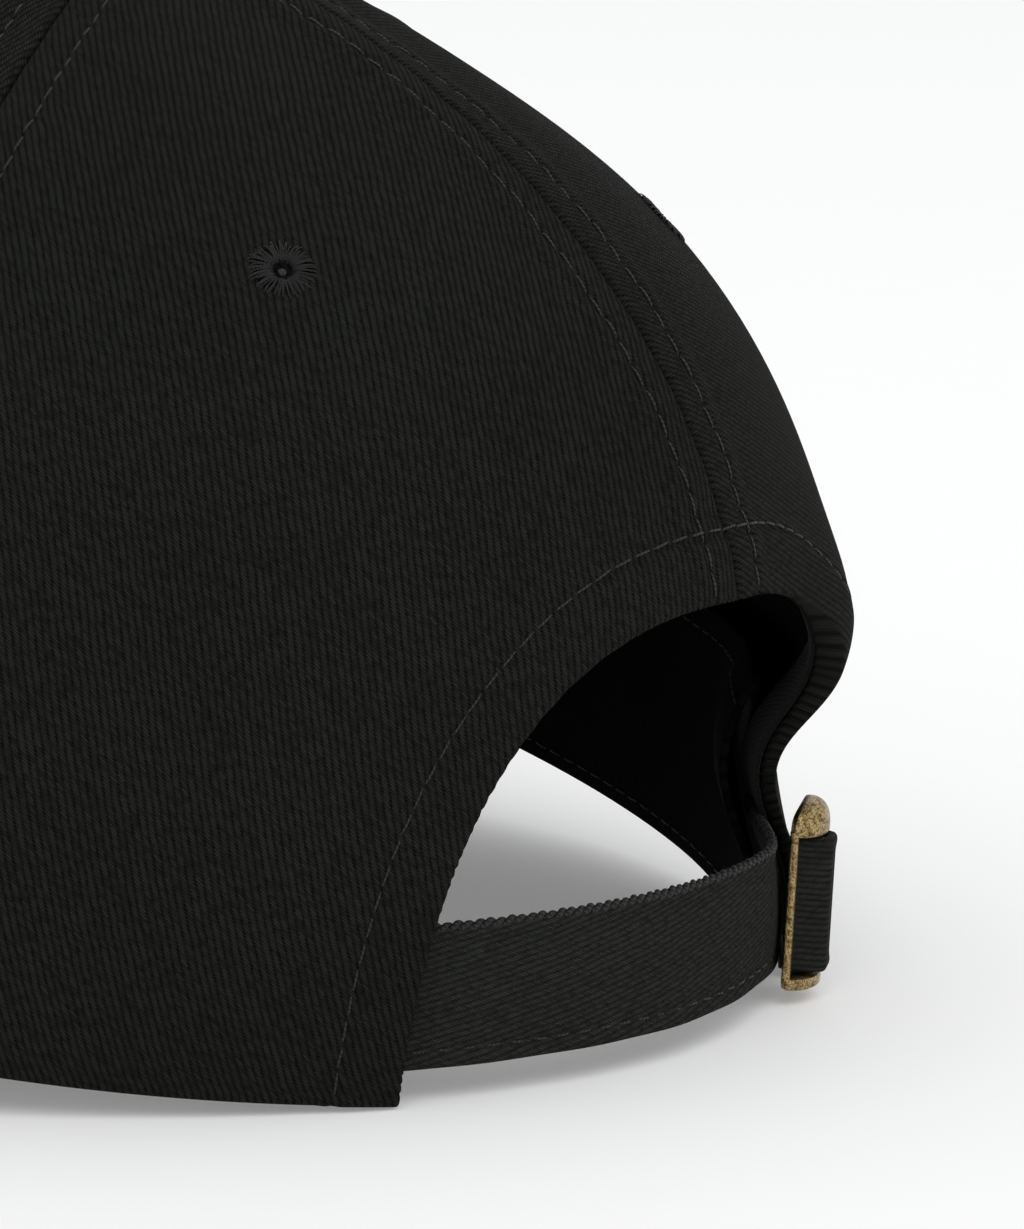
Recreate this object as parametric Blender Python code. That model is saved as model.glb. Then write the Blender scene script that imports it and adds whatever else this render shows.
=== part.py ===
"""Six-panel cotton baseball cap with a curved visor and a fabric strap in a sliding metal buckle.

The cap stands on its rim as on a table: +Z is up, the visor points to -Y, the open arch and its strap
are at the back (+Y), and +X is the wearer's left. The origin is at the middle of the footprint.
Sizes are in metres. Cloth pieces are closed shells laid at stated depths inside the crown's outer
face, each a hair's gap from the next, so every layer stays a separate solid.
"""

import math

import bmesh
import bpy
import numpy as np

# Crown: the rim is a superellipse, and every meridian is one too, from the rim to the top
RIM_HALF_WIDTH = 0.0854
RIM_HALF_LENGTH = 0.1047
RIM_POWER = 1.90
CROWN_HEIGHT = 0.1058
BACK_SHOULDER = 3.06
BACK_ROUND = 1.56
SIDE_SHOULDER = 3.17
SIDE_ROUND = 1.32
FRONT_SHOULDER = 2.80
FRONT_ROUND = 2.25
TOP_SET_BACK = 0.0132
LIFT_START_OUT = 0.0014
LIFT_ANGLE = 0.1195
LIFT_BEND = 0.40

# A soft dent where the strap draws in the arch's foot on the wearer's right: its middle by length
# along the rim and by height, how far it spreads each way, and its depth
DENT_LENGTH = -0.0460
DENT_HEIGHT = 0.0245
DENT_SPREAD = 0.0190
DENT_RISE = 0.0105
DENT_DEPTH = 0.0075

# Panels and their seams, by angle round the rim from the centre back
REAR_SEAM = math.radians(68.0)
FRONT_SEAM = math.radians(121.0)
CLOTH = 0.0008
SEAM_GAP = 0.0003
LAYER_GAP = 0.0003
TOP_HOLE = 0.045

# Back arch
ARCH_HALF_WIDTH = 0.0394
ARCH_HEIGHT = 0.0511
ARCH_SIDE_POWER = 2.54
ARCH_TOP_POWER = 2.80
ARCH_ABOVE = 0.0040
ARCH_BELOW = 0.0060
FACING_INSET = 0.0004
FACING_WIDTH = 0.0085
FACING = 0.0006

# Seam tapes, sweatband and its interlining
TAPE_WIDTH = 0.0130
TAPE = 0.0006
SWEATBAND_HEIGHT = 0.0320
SWEATBAND = 0.0008
SWEATBAND_CLEARANCE = 0.0009
INTERLINING_HEIGHT = 0.0240
INTERLINING = 0.0012
INTERLINING_LOW = 0.0030
INTERLINING_SPARE = 0.0030
RIM_INSET = 0.0008

# Embroidered eyelets, one in each panel
EYELET_RADIUS = 0.0037
EYELET_HOLE = 0.0008
EYELET_RISE = 0.0006
EYELET_SLEEVE = 0.0015
EYELET_BACK_RADIUS = 0.0027
EYELET_BACK = 0.0004
EYELET_CLEARANCE = 0.0003
EYELET_BACK_GAP = 0.0006
EYELET_HEIGHT = 0.0813
REAR_EYELET = math.radians(37.3)
SIDE_EYELET = math.radians(94.5)
FRONT_EYELET = math.radians(148.0)

# Button on top, a cloth-covered cap with a shank through the crown and a disc behind it
BUTTON_RADIUS = 0.0078
BUTTON_HEIGHT = 0.0044
BUTTON_LIFT = 0.0004
BUTTON_CLOTH = 0.0007
BUTTON_LIP_RADIUS = 0.0052
SHANK_RADIUS = 0.0014
BUTTON_BACK_RADIUS = 0.0065
BUTTON_BACK = 0.0009
BUTTON_BACK_DEPTH = 0.0036

# Visor: a stiff board between two cloth covers that close at its edge
VISOR_REACH = 0.0680
VISOR_OVERHANG = 0.0006
VISOR_END = math.radians(117.0)
VISOR_OUTLINE_POWER = 2.20
VISOR_END_TAPER = 0.18
VISOR_FRONT_RISE = 0.0005
VISOR_DROOP_POWER = 2.20
VISOR_BOARD = 0.0018
VISOR_CLOTH = 0.0007
VISOR_BOARD_INSET = 0.0025
VISOR_SEAT = 0.0004
VISOR_COLUMNS = 31
VISOR_ROWS = 6

# Strap: one section carried along an arc about an upright axis, its ends tucked inside the crown
STRAP_WIDTH = 0.0154
STRAP = 0.0014
STRAP_BOTTOM = 0.0034
STRAP_SET_IN = 0.0020
STRAP_FOOT_SET = 0.0015
STRAP_LEAN = math.radians(2.0)
STRAP_TUCK = 0.0130
STRAP_BLEND = 0.0002

# Slide buckle: two bars, two domed D-shaped ends and a pin that carries the strap's folded bight
BUCKLE_LENGTH = 0.0108
BAR_WIDTH = 0.0014
BAR_THICKNESS = 0.0010
END_THICKNESS = 0.0011
TOP_END_DOME = 0.0026
BOTTOM_END_DOME = 0.0006
END_BULGE = 0.0033
PIN_RADIUS = 0.0009
PIN_SOCKET_DEPTH = 0.0007
BUCKLE_CLEARANCE = 0.0003
BIGHT = 0.0011
BIGHT_RISE = 0.0034
BUCKLE_REST_ANGLE = math.radians(26.5)

# The scene is cleared first

for old in list(bpy.data.objects):
    bpy.data.objects.remove(old, do_unlink=True)

CLOTH_BLACK = (0.0118, 0.0122, 0.0112)
TAPE_BLACK = (0.0070, 0.0070, 0.0068)
THREAD_BLACK = (0.0210, 0.0220, 0.0200)
BRASS = (0.3200, 0.2350, 0.1050)
STEEL = (0.4500, 0.4500, 0.4600)
BOARD_WHITE = (0.6500, 0.6500, 0.6200)
FELT_GREY = (0.1200, 0.1200, 0.1150)


def material(name, colour, roughness, metallic=0.0):
    """A Principled BSDF material of one plain colour."""
    made = bpy.data.materials.new(name)
    made.use_nodes = True
    shader = made.node_tree.nodes["Principled BSDF"]
    shader.inputs["Base Color"].default_value = (*colour, 1.0)
    shader.inputs["Roughness"].default_value = roughness
    shader.inputs["Metallic"].default_value = metallic
    return made


def put(name, mesh, look):
    """An object of this mesh and material in the scene, shaded smooth across gentle edges."""
    mesh.materials.append(look)
    mesh.shade_smooth()
    mesh.set_sharp_from_angle(angle=math.radians(40.0))
    made = bpy.data.objects.new(name, mesh)
    bpy.context.scene.collection.objects.link(made)
    return made


def mesh_of(name, points, faces):
    """A mesh of these points and faces, with every face turned outwards."""
    mesh = bpy.data.meshes.new(name)
    mesh.from_pydata([tuple(p) for p in points], [], faces)
    shape = bmesh.new()
    shape.from_mesh(mesh)
    bmesh.ops.recalc_face_normals(shape, faces=shape.faces)
    shape.to_mesh(mesh)
    shape.free()
    return mesh


def slab_mesh(name, outer, inner):
    """The closed solid between two grids of points of one shape, rows by columns."""
    rows, columns = outer.shape[:2]
    count = rows * columns
    points = np.concatenate([outer.reshape(-1, 3), inner.reshape(-1, 3)])
    faces = []
    for i in range(rows - 1):
        for j in range(columns - 1):
            a = i * columns + j
            b = a + columns
            faces.append((a, a + 1, b + 1, b))
            faces.append((count + a, count + b, count + b + 1, count + a + 1))
    loop = [j for j in range(columns)]
    loop += [i * columns + columns - 1 for i in range(1, rows)]
    loop += [(rows - 1) * columns + j for j in range(columns - 2, -1, -1)]
    loop += [i * columns for i in range(rows - 2, 0, -1)]
    for a, b in zip(loop, loop[1:] + loop[:1]):
        faces.append((a, count + a, count + b, b))
    return mesh_of(name, points, faces)


def slab(name, outer, inner, look):
    """A named solid between two grids of points."""
    return put(name, slab_mesh(name, outer, inner), look)


def turned_mesh(name, profile, place, segments):
    """A profile of (radius, height) pairs turned about the upright axis of a placing function."""
    closed_loop = all(radius > 0.0 for radius, _ in profile)
    points = []
    rings = []
    for radius, height in profile:
        ring = []
        for k in range(segments if radius > 0.0 else 1):
            angle = 2.0 * math.pi * k / segments
            ring.append(len(points))
            points.append(place(radius * math.cos(angle), radius * math.sin(angle), height))
        rings.append(ring)
    pairs = list(zip(rings, rings[1:]))
    if closed_loop:
        pairs.append((rings[-1], rings[0]))
    faces = []
    for low, high in pairs:
        for k in range(segments):
            n = (k + 1) % segments
            if len(low) == 1:
                faces.append((low[0], high[k], high[n]))
            elif len(high) == 1:
                faces.append((low[k], low[n], high[0]))
            else:
                faces.append((low[k], low[n], high[n], high[k]))
    return mesh_of(name, points, faces)


def boolean(body, tool, operation):
    """Adds a Boolean modifier to the body, and hides the tool."""
    step = body.modifiers.new(operation.title() + " " + tool.name, "BOOLEAN")
    step.operation = operation
    step.solver = "EXACT"
    step.object = tool
    tool.hide_render = True
    tool.display_type = "WIRE"


# The crown's outer face


def rim_point(phi):
    """x = A sgn(sin) |sin|^(2/p), y = B sgn(cos) |cos|^(2/p), with phi from the centre back."""
    power = 2.0 / RIM_POWER
    x = RIM_HALF_WIDTH * np.sign(np.sin(phi)) * np.abs(np.sin(phi)) ** power
    y = RIM_HALF_LENGTH * np.sign(np.cos(phi)) * np.abs(np.cos(phi)) ** power
    return x, y


RIM_PHI = np.linspace(0.0, math.pi, 2001)
RIM_X, RIM_Y = rim_point(RIM_PHI)
RIM_STEP = np.hypot(np.diff(RIM_X), np.diff(RIM_Y))
RIM_LENGTH = np.concatenate([[0.0], np.cumsum(RIM_STEP)])
RIM_SPEED = np.gradient(RIM_LENGTH, RIM_PHI)


def phi_at(length):
    """The angle at a signed length along the rim from the centre back."""
    return np.sign(length) * np.interp(np.abs(length), RIM_LENGTH, RIM_PHI)


def length_at(phi):
    """The signed length along the rim at an angle between -pi and pi."""
    return np.sign(phi) * np.interp(np.abs(phi), RIM_PHI, RIM_LENGTH)


FOOT_X, FOOT_Y = rim_point(phi_at(ARCH_HALF_WIDTH))
LIFT_START_Y = FOOT_Y + LIFT_START_OUT


def blend_round(phi, back, side, front):
    """One value at the back, one at the sides and one at the front, blended by the angle."""
    end = np.where(np.cos(phi) > 0.0, back, front)
    return end + (side - end) * np.sin(phi) ** 2


def shoulder_at(phi):
    """The power that sets how upright a meridian leaves the rim."""
    return blend_round(phi, BACK_SHOULDER, SIDE_SHOULDER, FRONT_SHOULDER)


def round_at(phi):
    """The power that sets how full a meridian is near the top."""
    return blend_round(phi, BACK_ROUND, SIDE_ROUND, FRONT_ROUND)


def turn_at_height(phi, height):
    """The meridian's parameter at a height above the rim: h/H = sin(turn)^(2/shoulder)."""
    share = np.clip(height / CROWN_HEIGHT, 0.0, 1.0)
    return np.arcsin(share ** (0.5 * shoulder_at(phi)))


def turn_at_reach(phi, reach):
    """The meridian's parameter at a share of the rim's radius: reach = cos(turn)^(2/round)."""
    return np.arccos(reach ** (0.5 * round_at(phi)))


def stand(x, y, z):
    """Tips the crown back about its rear feet, as the visor props up its front, and bends the rim."""
    ahead = LIFT_START_Y - y
    low = ahead * math.sin(LIFT_ANGLE) + z * math.cos(LIFT_ANGLE)
    bend = LIFT_BEND * np.maximum(0.0, ahead) ** 2
    back = LIFT_START_Y - ahead * math.cos(LIFT_ANGLE) + z * math.sin(LIFT_ANGLE)
    return np.stack([x, back, low + bend], axis=-1)


def dent(phi, height):
    """Depth of the dent: D exp(-((s - s0)/w)^2 - ((z - z0)/v)^2)."""
    away = (length_at(phi) - DENT_LENGTH) / DENT_SPREAD
    above = (height - DENT_HEIGHT) / DENT_RISE
    return DENT_DEPTH * np.exp(-(away**2) - above**2)


def crown_face(phi, turn):
    """The outer face at an angle round the rim and a turn up the meridian."""
    phi, turn = np.broadcast_arrays(phi, turn)
    height = np.sin(turn) ** (2.0 / shoulder_at(phi))
    reach = np.cos(turn) ** (2.0 / round_at(phi))
    x, y = rim_point(phi)
    inward = dent(phi, CROWN_HEIGHT * height) / np.hypot(x, y)
    across = x * (reach - inward)
    along = y * (reach - inward) + TOP_SET_BACK * height**1.5
    return stand(across, along, CROWN_HEIGHT * height)


def crown_normal(phi, turn):
    """The outward unit normal, from differences across a small step each way."""
    step = 1e-3
    middle = np.clip(turn, 0.02, 0.5 * math.pi - 0.02)
    around = crown_face(phi + step, middle) - crown_face(phi - step, middle)
    upward = crown_face(phi, middle + step) - crown_face(phi, middle - step)
    normal = np.cross(upward, around)
    return normal / np.linalg.norm(normal, axis=-1, keepdims=True)


def crown(phi, turn, depth):
    """A point at a depth inside the crown's outer face."""
    return crown_face(phi, turn) - np.asarray(depth)[..., None] * crown_normal(phi, turn)


def even_rows(count):
    """Shares of the top turn, from 0 to 1, that divide one meridian into equal lengths."""
    phi = math.radians(45.0)
    share = np.linspace(0.0, 1.0, 400)
    path = crown_face(phi, share * turn_at_reach(phi, TOP_HOLE))
    length = np.concatenate([[0.0], np.cumsum(np.linalg.norm(np.diff(path, axis=0), axis=1))])
    return np.interp(np.linspace(0.0, length[-1], count), length, share)


def gap_angle(phi, turn):
    """The angle at a seam that gives half a seam gap at this turn."""
    reach = np.cos(turn) ** (2.0 / round_at(phi))
    speed = np.interp(abs(phi), RIM_PHI, RIM_SPEED)
    return 0.5 * SEAM_GAP / (speed * reach)


def panel_grid(first, last, depth, columns, rows=20):
    """Points of a gore between two seams, less half a gap each side."""
    grid = np.zeros((rows, columns, 3))
    for i, share in enumerate(even_rows(rows)):
        left = first + gap_angle(first, share * turn_at_reach(first, TOP_HOLE))
        right = last - gap_angle(last, share * turn_at_reach(last, TOP_HOLE))
        phi = np.linspace(left, right, columns)
        grid[i] = crown(phi, share * turn_at_reach(phi, TOP_HOLE), depth)
    return grid


def mirrored(grid):
    """The same grid on the wearer's right."""
    return grid * np.array([-1.0, 1.0, 1.0])


def pair(name, outer, inner, look):
    """The piece on the wearer's left and its mirror image on the right."""
    left = slab(name.format("left"), outer, inner, look)
    right = slab(name.format("right"), mirrored(outer), mirrored(inner), look)
    return left, right


cloth = material("black_cotton_twill", CLOTH_BLACK, 0.85)
tape_cloth = material("black_seam_tape", TAPE_BLACK, 0.80)
thread = material("black_embroidery_thread", THREAD_BLACK, 0.55)
brass = material("antique_brass", BRASS, 0.38, 1.0)
steel = material("button_steel", STEEL, 0.40, 1.0)
board_plastic = material("visor_board_plastic", BOARD_WHITE, 0.50)
felt = material("sweatband_felt", FELT_GREY, 0.95)

# Six panels

panels = {
    where: pair(
        where + "_{}_panel",
        panel_grid(first, last, 0.0, columns),
        panel_grid(first, last, CLOTH, columns),
        cloth,
    )
    for where, first, last, columns in (
        ("side", REAR_SEAM, FRONT_SEAM, 10),
        ("front", FRONT_SEAM, math.pi, 14),
    )
}
panels["rear"] = [
    slab(name, panel_grid(first, last, 0.0, 27, 34), panel_grid(first, last, CLOTH, 27, 34), cloth)
    for name, first, last in (
        ("rear_left_panel", 0.0, REAR_SEAM),
        ("rear_right_panel", -REAR_SEAM, 0.0),
    )
]

# The arch: (s/w)^p + (z/h)^q = 1 on the developed back of the crown, cut square to the cloth


def arch_curve(angle, out=0.0):
    """Length along the rim and height of the arch, moved outwards by a distance."""
    cosine = np.cos(angle)
    length = ARCH_HALF_WIDTH * np.sign(cosine) * np.abs(cosine) ** (2.0 / ARCH_SIDE_POWER)
    height = ARCH_HEIGHT * np.sin(angle) ** (2.0 / ARCH_TOP_POWER)
    slope_s = np.gradient(length, angle)
    slope_z = np.gradient(height, angle)
    size = np.hypot(slope_s, slope_z)
    return length + out * slope_z / size, height - out * slope_s / size


def arch_angles(count):
    """Parameters that divide the arch into equal lengths, from the wearer's left foot to the right."""
    fine = np.linspace(1e-6, math.pi - 1e-6, 4001)
    length, height = arch_curve(fine)
    path = np.concatenate([[0.0], np.cumsum(np.hypot(np.diff(length), np.diff(height)))])
    return np.interp(np.linspace(0.0, path[-1], count), path, fine)


def on_crown(length, height, depth):
    """A point by its length along the rim and its height, also a little way below the rim."""
    phi = phi_at(length)
    face = crown(phi, turn_at_height(phi, np.maximum(height, 0.0)), depth)
    face[..., 2] += np.minimum(height, 0.0)
    return face


cutter_angle = arch_angles(37)
cutter_length, cutter_top = arch_curve(cutter_angle)
cutter_share = np.linspace(0.0, 1.0, 7)[:, None]
cutter_height = -ARCH_BELOW + cutter_share * (cutter_top + ARCH_BELOW)
cutter_across = np.broadcast_to(cutter_length, cutter_height.shape)
arch_cutter = slab(
    "arch_cutter",
    on_crown(cutter_across, cutter_height, -ARCH_ABOVE),
    on_crown(cutter_across, cutter_height, CLOTH + ARCH_ABOVE),
    cloth,
)
for panel in panels["rear"]:
    boolean(panel, arch_cutter, "DIFFERENCE")

# The facing behind the arch's edge

facing_depth = CLOTH + LAYER_GAP
fine_angle = np.linspace(1e-4, math.pi - 1e-4, 4001)
rows = []
for out in np.linspace(FACING_INSET, FACING_INSET + FACING_WIDTH, 5):
    length, height = arch_curve(fine_angle, out)
    keep = height >= RIM_INSET
    path = np.hypot(np.diff(length[keep]), np.diff(height[keep]))
    path = np.concatenate([[0.0], np.cumsum(path)])
    even = np.linspace(0.0, path[-1], 55)
    rows.append((np.interp(even, path, length[keep]), np.interp(even, path, height[keep])))
facing_length = np.array([row[0] for row in rows])
facing_height = np.array([row[1] for row in rows])
slab(
    "arch_facing",
    on_crown(facing_length, facing_height, facing_depth),
    on_crown(facing_length, facing_height, facing_depth + FACING),
    tape_cloth,
)

# Seam tapes: each follows its seam up to the hole at the top, where it narrows to a wedge

tape_depth = CLOTH + LAYER_GAP
SEAMS = (0.0, REAR_SEAM, FRONT_SEAM, math.pi, -FRONT_SEAM, -REAR_SEAM)


def tape_grid(number, start, depth, rows=20):
    """A strip three points wide along a seam, from a height above the rim."""
    seam = SEAMS[number]
    before = SEAMS[number - 1]
    after = SEAMS[(number + 1) % len(SEAMS)]
    room_left = 0.5 * ((seam - before) % (2.0 * math.pi))
    room_right = 0.5 * ((after - seam) % (2.0 * math.pi))
    speed = np.interp(abs(seam), RIM_PHI, RIM_SPEED)
    low = turn_at_height(seam, start) / turn_at_reach(seam, TOP_HOLE)
    grid = np.zeros((rows, 3, 3))
    for i, share in enumerate(low + (1.0 - low) * even_rows(rows)):
        reach = math.cos(share * turn_at_reach(seam, TOP_HOLE)) ** (2.0 / round_at(seam))
        half = 0.5 * TAPE_WIDTH / (speed * reach)
        gap = 0.5 * SEAM_GAP / (min(RIM_HALF_WIDTH, RIM_HALF_LENGTH) * reach)
        left = min(half, room_left - gap)
        right = min(half, room_right - gap)
        phi = seam + np.array([-left, 0.0, right])
        grid[i] = crown(phi, share * turn_at_reach(phi, TOP_HOLE), depth)
    return grid


for number, name, start in (
    (0, "rear_centre_tape", ARCH_HEIGHT + FACING_INSET + FACING_WIDTH + 2.0 * LAYER_GAP),
    (1, "rear_left_tape", RIM_INSET),
    (2, "front_left_tape", RIM_INSET),
    (3, "front_centre_tape", RIM_INSET),
    (4, "front_right_tape", RIM_INSET),
    (5, "rear_right_tape", RIM_INSET),
):
    slab(
        name,
        tape_grid(number, start, tape_depth),
        tape_grid(number, start, tape_depth + TAPE),
        tape_cloth,
    )

# Sweatband and the interlining behind it, round the front from one side of the arch to the other

layer_two = tape_depth + max(TAPE, FACING) + LAYER_GAP
layer_three = layer_two + max(STRAP, INTERLINING) + SWEATBAND_CLEARANCE


def band_grid(start, low, high, depth, columns, rows):
    """A band round the front of the rim, from a length past the centre back on each side."""
    last = 2.0 * RIM_LENGTH[-1] - start
    along = np.linspace(start, last, columns)
    along = np.where(along > RIM_LENGTH[-1], along - 2.0 * RIM_LENGTH[-1], along)
    up = np.linspace(low, high, rows)
    length, height = np.meshgrid(along, up)
    return on_crown(length, height, depth)


BAND_START = ARCH_HALF_WIDTH + 4.0 * LAYER_GAP
LINING_START = ARCH_HALF_WIDTH + STRAP_TUCK + INTERLINING_SPARE
LINING_HIGH = INTERLINING_LOW + INTERLINING_HEIGHT
slab(
    "sweatband",
    band_grid(BAND_START, RIM_INSET, SWEATBAND_HEIGHT, layer_three, 97, 6),
    band_grid(BAND_START, RIM_INSET, SWEATBAND_HEIGHT, layer_three + SWEATBAND, 97, 6),
    cloth,
)
slab(
    "sweatband_interlining",
    band_grid(LINING_START, INTERLINING_LOW, LINING_HIGH, layer_two, 85, 6),
    band_grid(LINING_START, INTERLINING_LOW, LINING_HIGH, layer_two + INTERLINING, 85, 6),
    felt,
)

# Embroidered eyelets, each a ring of thread through a hole in its panel


def eyelet_place(phi):
    """The frame of an eyelet: its centre, two directions in the cloth and the normal."""
    turn = turn_at_height(phi, EYELET_HEIGHT)
    centre = crown(phi, turn, 0.0)
    normal = crown_normal(phi, turn)
    upward = crown_face(phi, turn + 1e-3) - centre
    upward /= np.linalg.norm(upward)
    across = np.cross(upward, normal)

    def place(x, y, height):
        return centre + x * across + y * upward + height * normal

    return place


EYELET_PROFILE = (
    (EYELET_HOLE, EYELET_CLEARANCE + 0.6 * EYELET_RISE),
    (0.5 * (EYELET_HOLE + EYELET_RADIUS), EYELET_CLEARANCE + EYELET_RISE),
    (EYELET_RADIUS - 0.5 * EYELET_RISE, EYELET_CLEARANCE + 0.7 * EYELET_RISE),
    (EYELET_RADIUS, EYELET_CLEARANCE),
    (EYELET_SLEEVE, EYELET_CLEARANCE),
    (EYELET_SLEEVE, -CLOTH - EYELET_BACK_GAP),
    (EYELET_BACK_RADIUS, -CLOTH - EYELET_BACK_GAP),
    (EYELET_BACK_RADIUS, -CLOTH - EYELET_BACK_GAP - EYELET_BACK),
    (EYELET_HOLE, -CLOTH - EYELET_BACK_GAP - EYELET_BACK),
)
PUNCH_RADIUS = EYELET_SLEEVE + EYELET_CLEARANCE
PUNCH_PROFILE = (
    (0.0, 0.004),
    (PUNCH_RADIUS, 0.004),
    (PUNCH_RADIUS, -CLOTH - 0.004),
    (0.0, -CLOTH - 0.004),
)
for where, angle in (("rear", REAR_EYELET), ("side", SIDE_EYELET), ("front", FRONT_EYELET)):
    for side, sign, panel in zip(("left", "right"), (1.0, -1.0), panels[where]):
        place = eyelet_place(sign * angle)
        name = where + "_" + side
        put(name + "_eyelet", turned_mesh(name + "_eyelet", EYELET_PROFILE, place, 12), thread)
        punch = put(name + "_punch", turned_mesh(name + "_punch", PUNCH_PROFILE, place, 12), thread)
        boolean(panel, punch, "DIFFERENCE")

# The button, on the crown's apex


def apex_frame():
    """The crown's topmost point and the normal of its top, from four points round it."""
    phi = np.array([0.0, 0.5 * math.pi, math.pi, -0.5 * math.pi])
    ring = crown_face(phi, turn_at_reach(phi, 0.03))
    peak = crown_face(0.0, 0.5 * math.pi)
    normal = np.cross(ring[1] - ring[3], ring[0] - ring[2])
    return peak, normal / np.linalg.norm(normal)


apex, apex_normal = apex_frame()
apex_side = np.array([1.0, 0.0, 0.0])
apex_back = np.cross(apex_normal, apex_side)


def button_place(x, y, height):
    return apex + x * apex_side + y * apex_back + height * apex_normal


def dome(radius, low, high, count):
    """Points down the outside of an elliptical dome, from its top to its edge."""
    angle = np.linspace(0.0, 0.5 * math.pi, count)
    return [(radius * math.sin(a), low + (high - low) * math.cos(a)) for a in angle]


cover_dome = dome(BUTTON_RADIUS, BUTTON_LIFT + BUTTON_CLOTH, BUTTON_HEIGHT, 6)
cover_inside = dome(
    BUTTON_RADIUS - BUTTON_CLOTH,
    BUTTON_LIFT + BUTTON_CLOTH,
    BUTTON_HEIGHT - BUTTON_CLOTH,
    6,
)
cover_profile = cover_dome
cover_profile += [(BUTTON_RADIUS - 0.4 * BUTTON_CLOTH, BUTTON_LIFT)]
cover_profile += [(BUTTON_LIP_RADIUS, BUTTON_LIFT), (BUTTON_LIP_RADIUS, BUTTON_LIFT + BUTTON_CLOTH)]
cover_profile += cover_inside[::-1]
put("button_cover", turned_mesh("button_cover", cover_profile, button_place, 24), cloth)

shell_gap = BUTTON_CLOTH + 2.0 * LAYER_GAP
shell_profile = dome(
    BUTTON_RADIUS - shell_gap,
    BUTTON_LIFT + shell_gap,
    BUTTON_HEIGHT - shell_gap,
    6,
)
shell_profile += [(SHANK_RADIUS, BUTTON_LIFT + shell_gap)]
shell_profile += [(SHANK_RADIUS, -BUTTON_BACK_DEPTH - BUTTON_BACK - 0.0006)]
shell_profile += [(0.0, -BUTTON_BACK_DEPTH - BUTTON_BACK - 0.0006)]
put("button_shell", turned_mesh("button_shell", shell_profile, button_place, 24), steel)

back_hole = SHANK_RADIUS + LAYER_GAP
back_profile = [
    (back_hole, -BUTTON_BACK_DEPTH),
    (BUTTON_BACK_RADIUS - 0.3 * BUTTON_BACK, -BUTTON_BACK_DEPTH),
    (BUTTON_BACK_RADIUS, -BUTTON_BACK_DEPTH - 0.3 * BUTTON_BACK),
    (BUTTON_BACK_RADIUS, -BUTTON_BACK_DEPTH - BUTTON_BACK),
    (back_hole, -BUTTON_BACK_DEPTH - BUTTON_BACK),
]
put("button_back", turned_mesh("button_back", back_profile, button_place, 24), steel)

# The visor: ruled from the crown's rim to a superellipse outline, its sides drooping to the table

VISOR_HALF_WIDTH = RIM_HALF_WIDTH + VISOR_OVERHANG
VISOR_FRONT_HEIGHT = stand(0.0, -RIM_HALF_LENGTH, 0.0)[2] + VISOR_FRONT_RISE
VISOR_HALF_STACK = 0.5 * VISOR_BOARD + LAYER_GAP + VISOR_CLOTH


def visor_normal(inner, outer):
    """The upward unit normal of the visor's mid-surface, one for each column."""
    around = np.gradient(inner + 0.5 * (outer - inner), axis=0)
    normal = np.cross(outer - inner, around)
    normal /= np.linalg.norm(normal, axis=-1, keepdims=True)
    return normal * np.sign(normal[:, 2:3])


def visor_edges(droop):
    """The visor's inner edge against the crown and its outer edge, at the board's mid-surface.

    The inner edge stands off the crown by its seat and half the stack's thickness as the crown
    sees it, which depends on how far the visor's face turns towards the crown there.
    """
    across = np.linspace(-1.0, 1.0, VISOR_COLUMNS)
    phi = math.pi + across * (math.pi - VISOR_END)
    turn = turn_at_height(phi, VISOR_HALF_STACK + 0.5 * LAYER_GAP)
    angle = 0.5 * math.pi * across
    power = 2.0 / VISOR_OUTLINE_POWER
    x = -VISOR_HALF_WIDTH * np.sign(angle) * np.abs(np.sin(angle)) ** power
    z = VISOR_FRONT_HEIGHT - droop * np.abs(x / VISOR_HALF_WIDTH) ** VISOR_DROOP_POWER
    taper = VISOR_END_TAPER + (1.0 - VISOR_END_TAPER) * (1.0 - np.abs(across) ** 6)
    facing = np.zeros(VISOR_COLUMNS)
    for _ in range(3):
        inner = crown(phi, turn, -VISOR_SEAT - VISOR_HALF_STACK * facing)
        reach = RIM_HALF_LENGTH + VISOR_REACH + inner[0, 1]
        y = inner[0, 1] - reach * np.abs(np.cos(angle)) ** power
        outline = np.stack([x, y, z], axis=-1)
        outer = inner + taper[:, None] * (outline - inner)
        facing = np.abs(np.sum(visor_normal(inner, outer) * crown_normal(phi, turn), axis=-1))
    return inner, outer


def visor_grid(droop, out, lift):
    """Points at shares of the way out, lifted off the mid-surface by a distance for each."""
    inner, outer = visor_edges(droop)
    grid = inner + out[..., None] * (outer - inner)
    return grid + lift[..., None] * visor_normal(inner, outer)


def visor_droop():
    """The droop at the sides that brings the visor's lower face down to the table, by bisection."""
    share = np.linspace(0.0, 1.0, 12)[:, None] * np.ones(VISOR_COLUMNS)
    low, high = 0.0, 0.2
    for _ in range(40):
        middle = 0.5 * (low + high)
        grid = visor_grid(middle, share, np.full(share.shape, -VISOR_HALF_STACK))
        if grid[..., 2].min() > 0.0:
            low = middle
        else:
            high = middle
    return low


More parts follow.
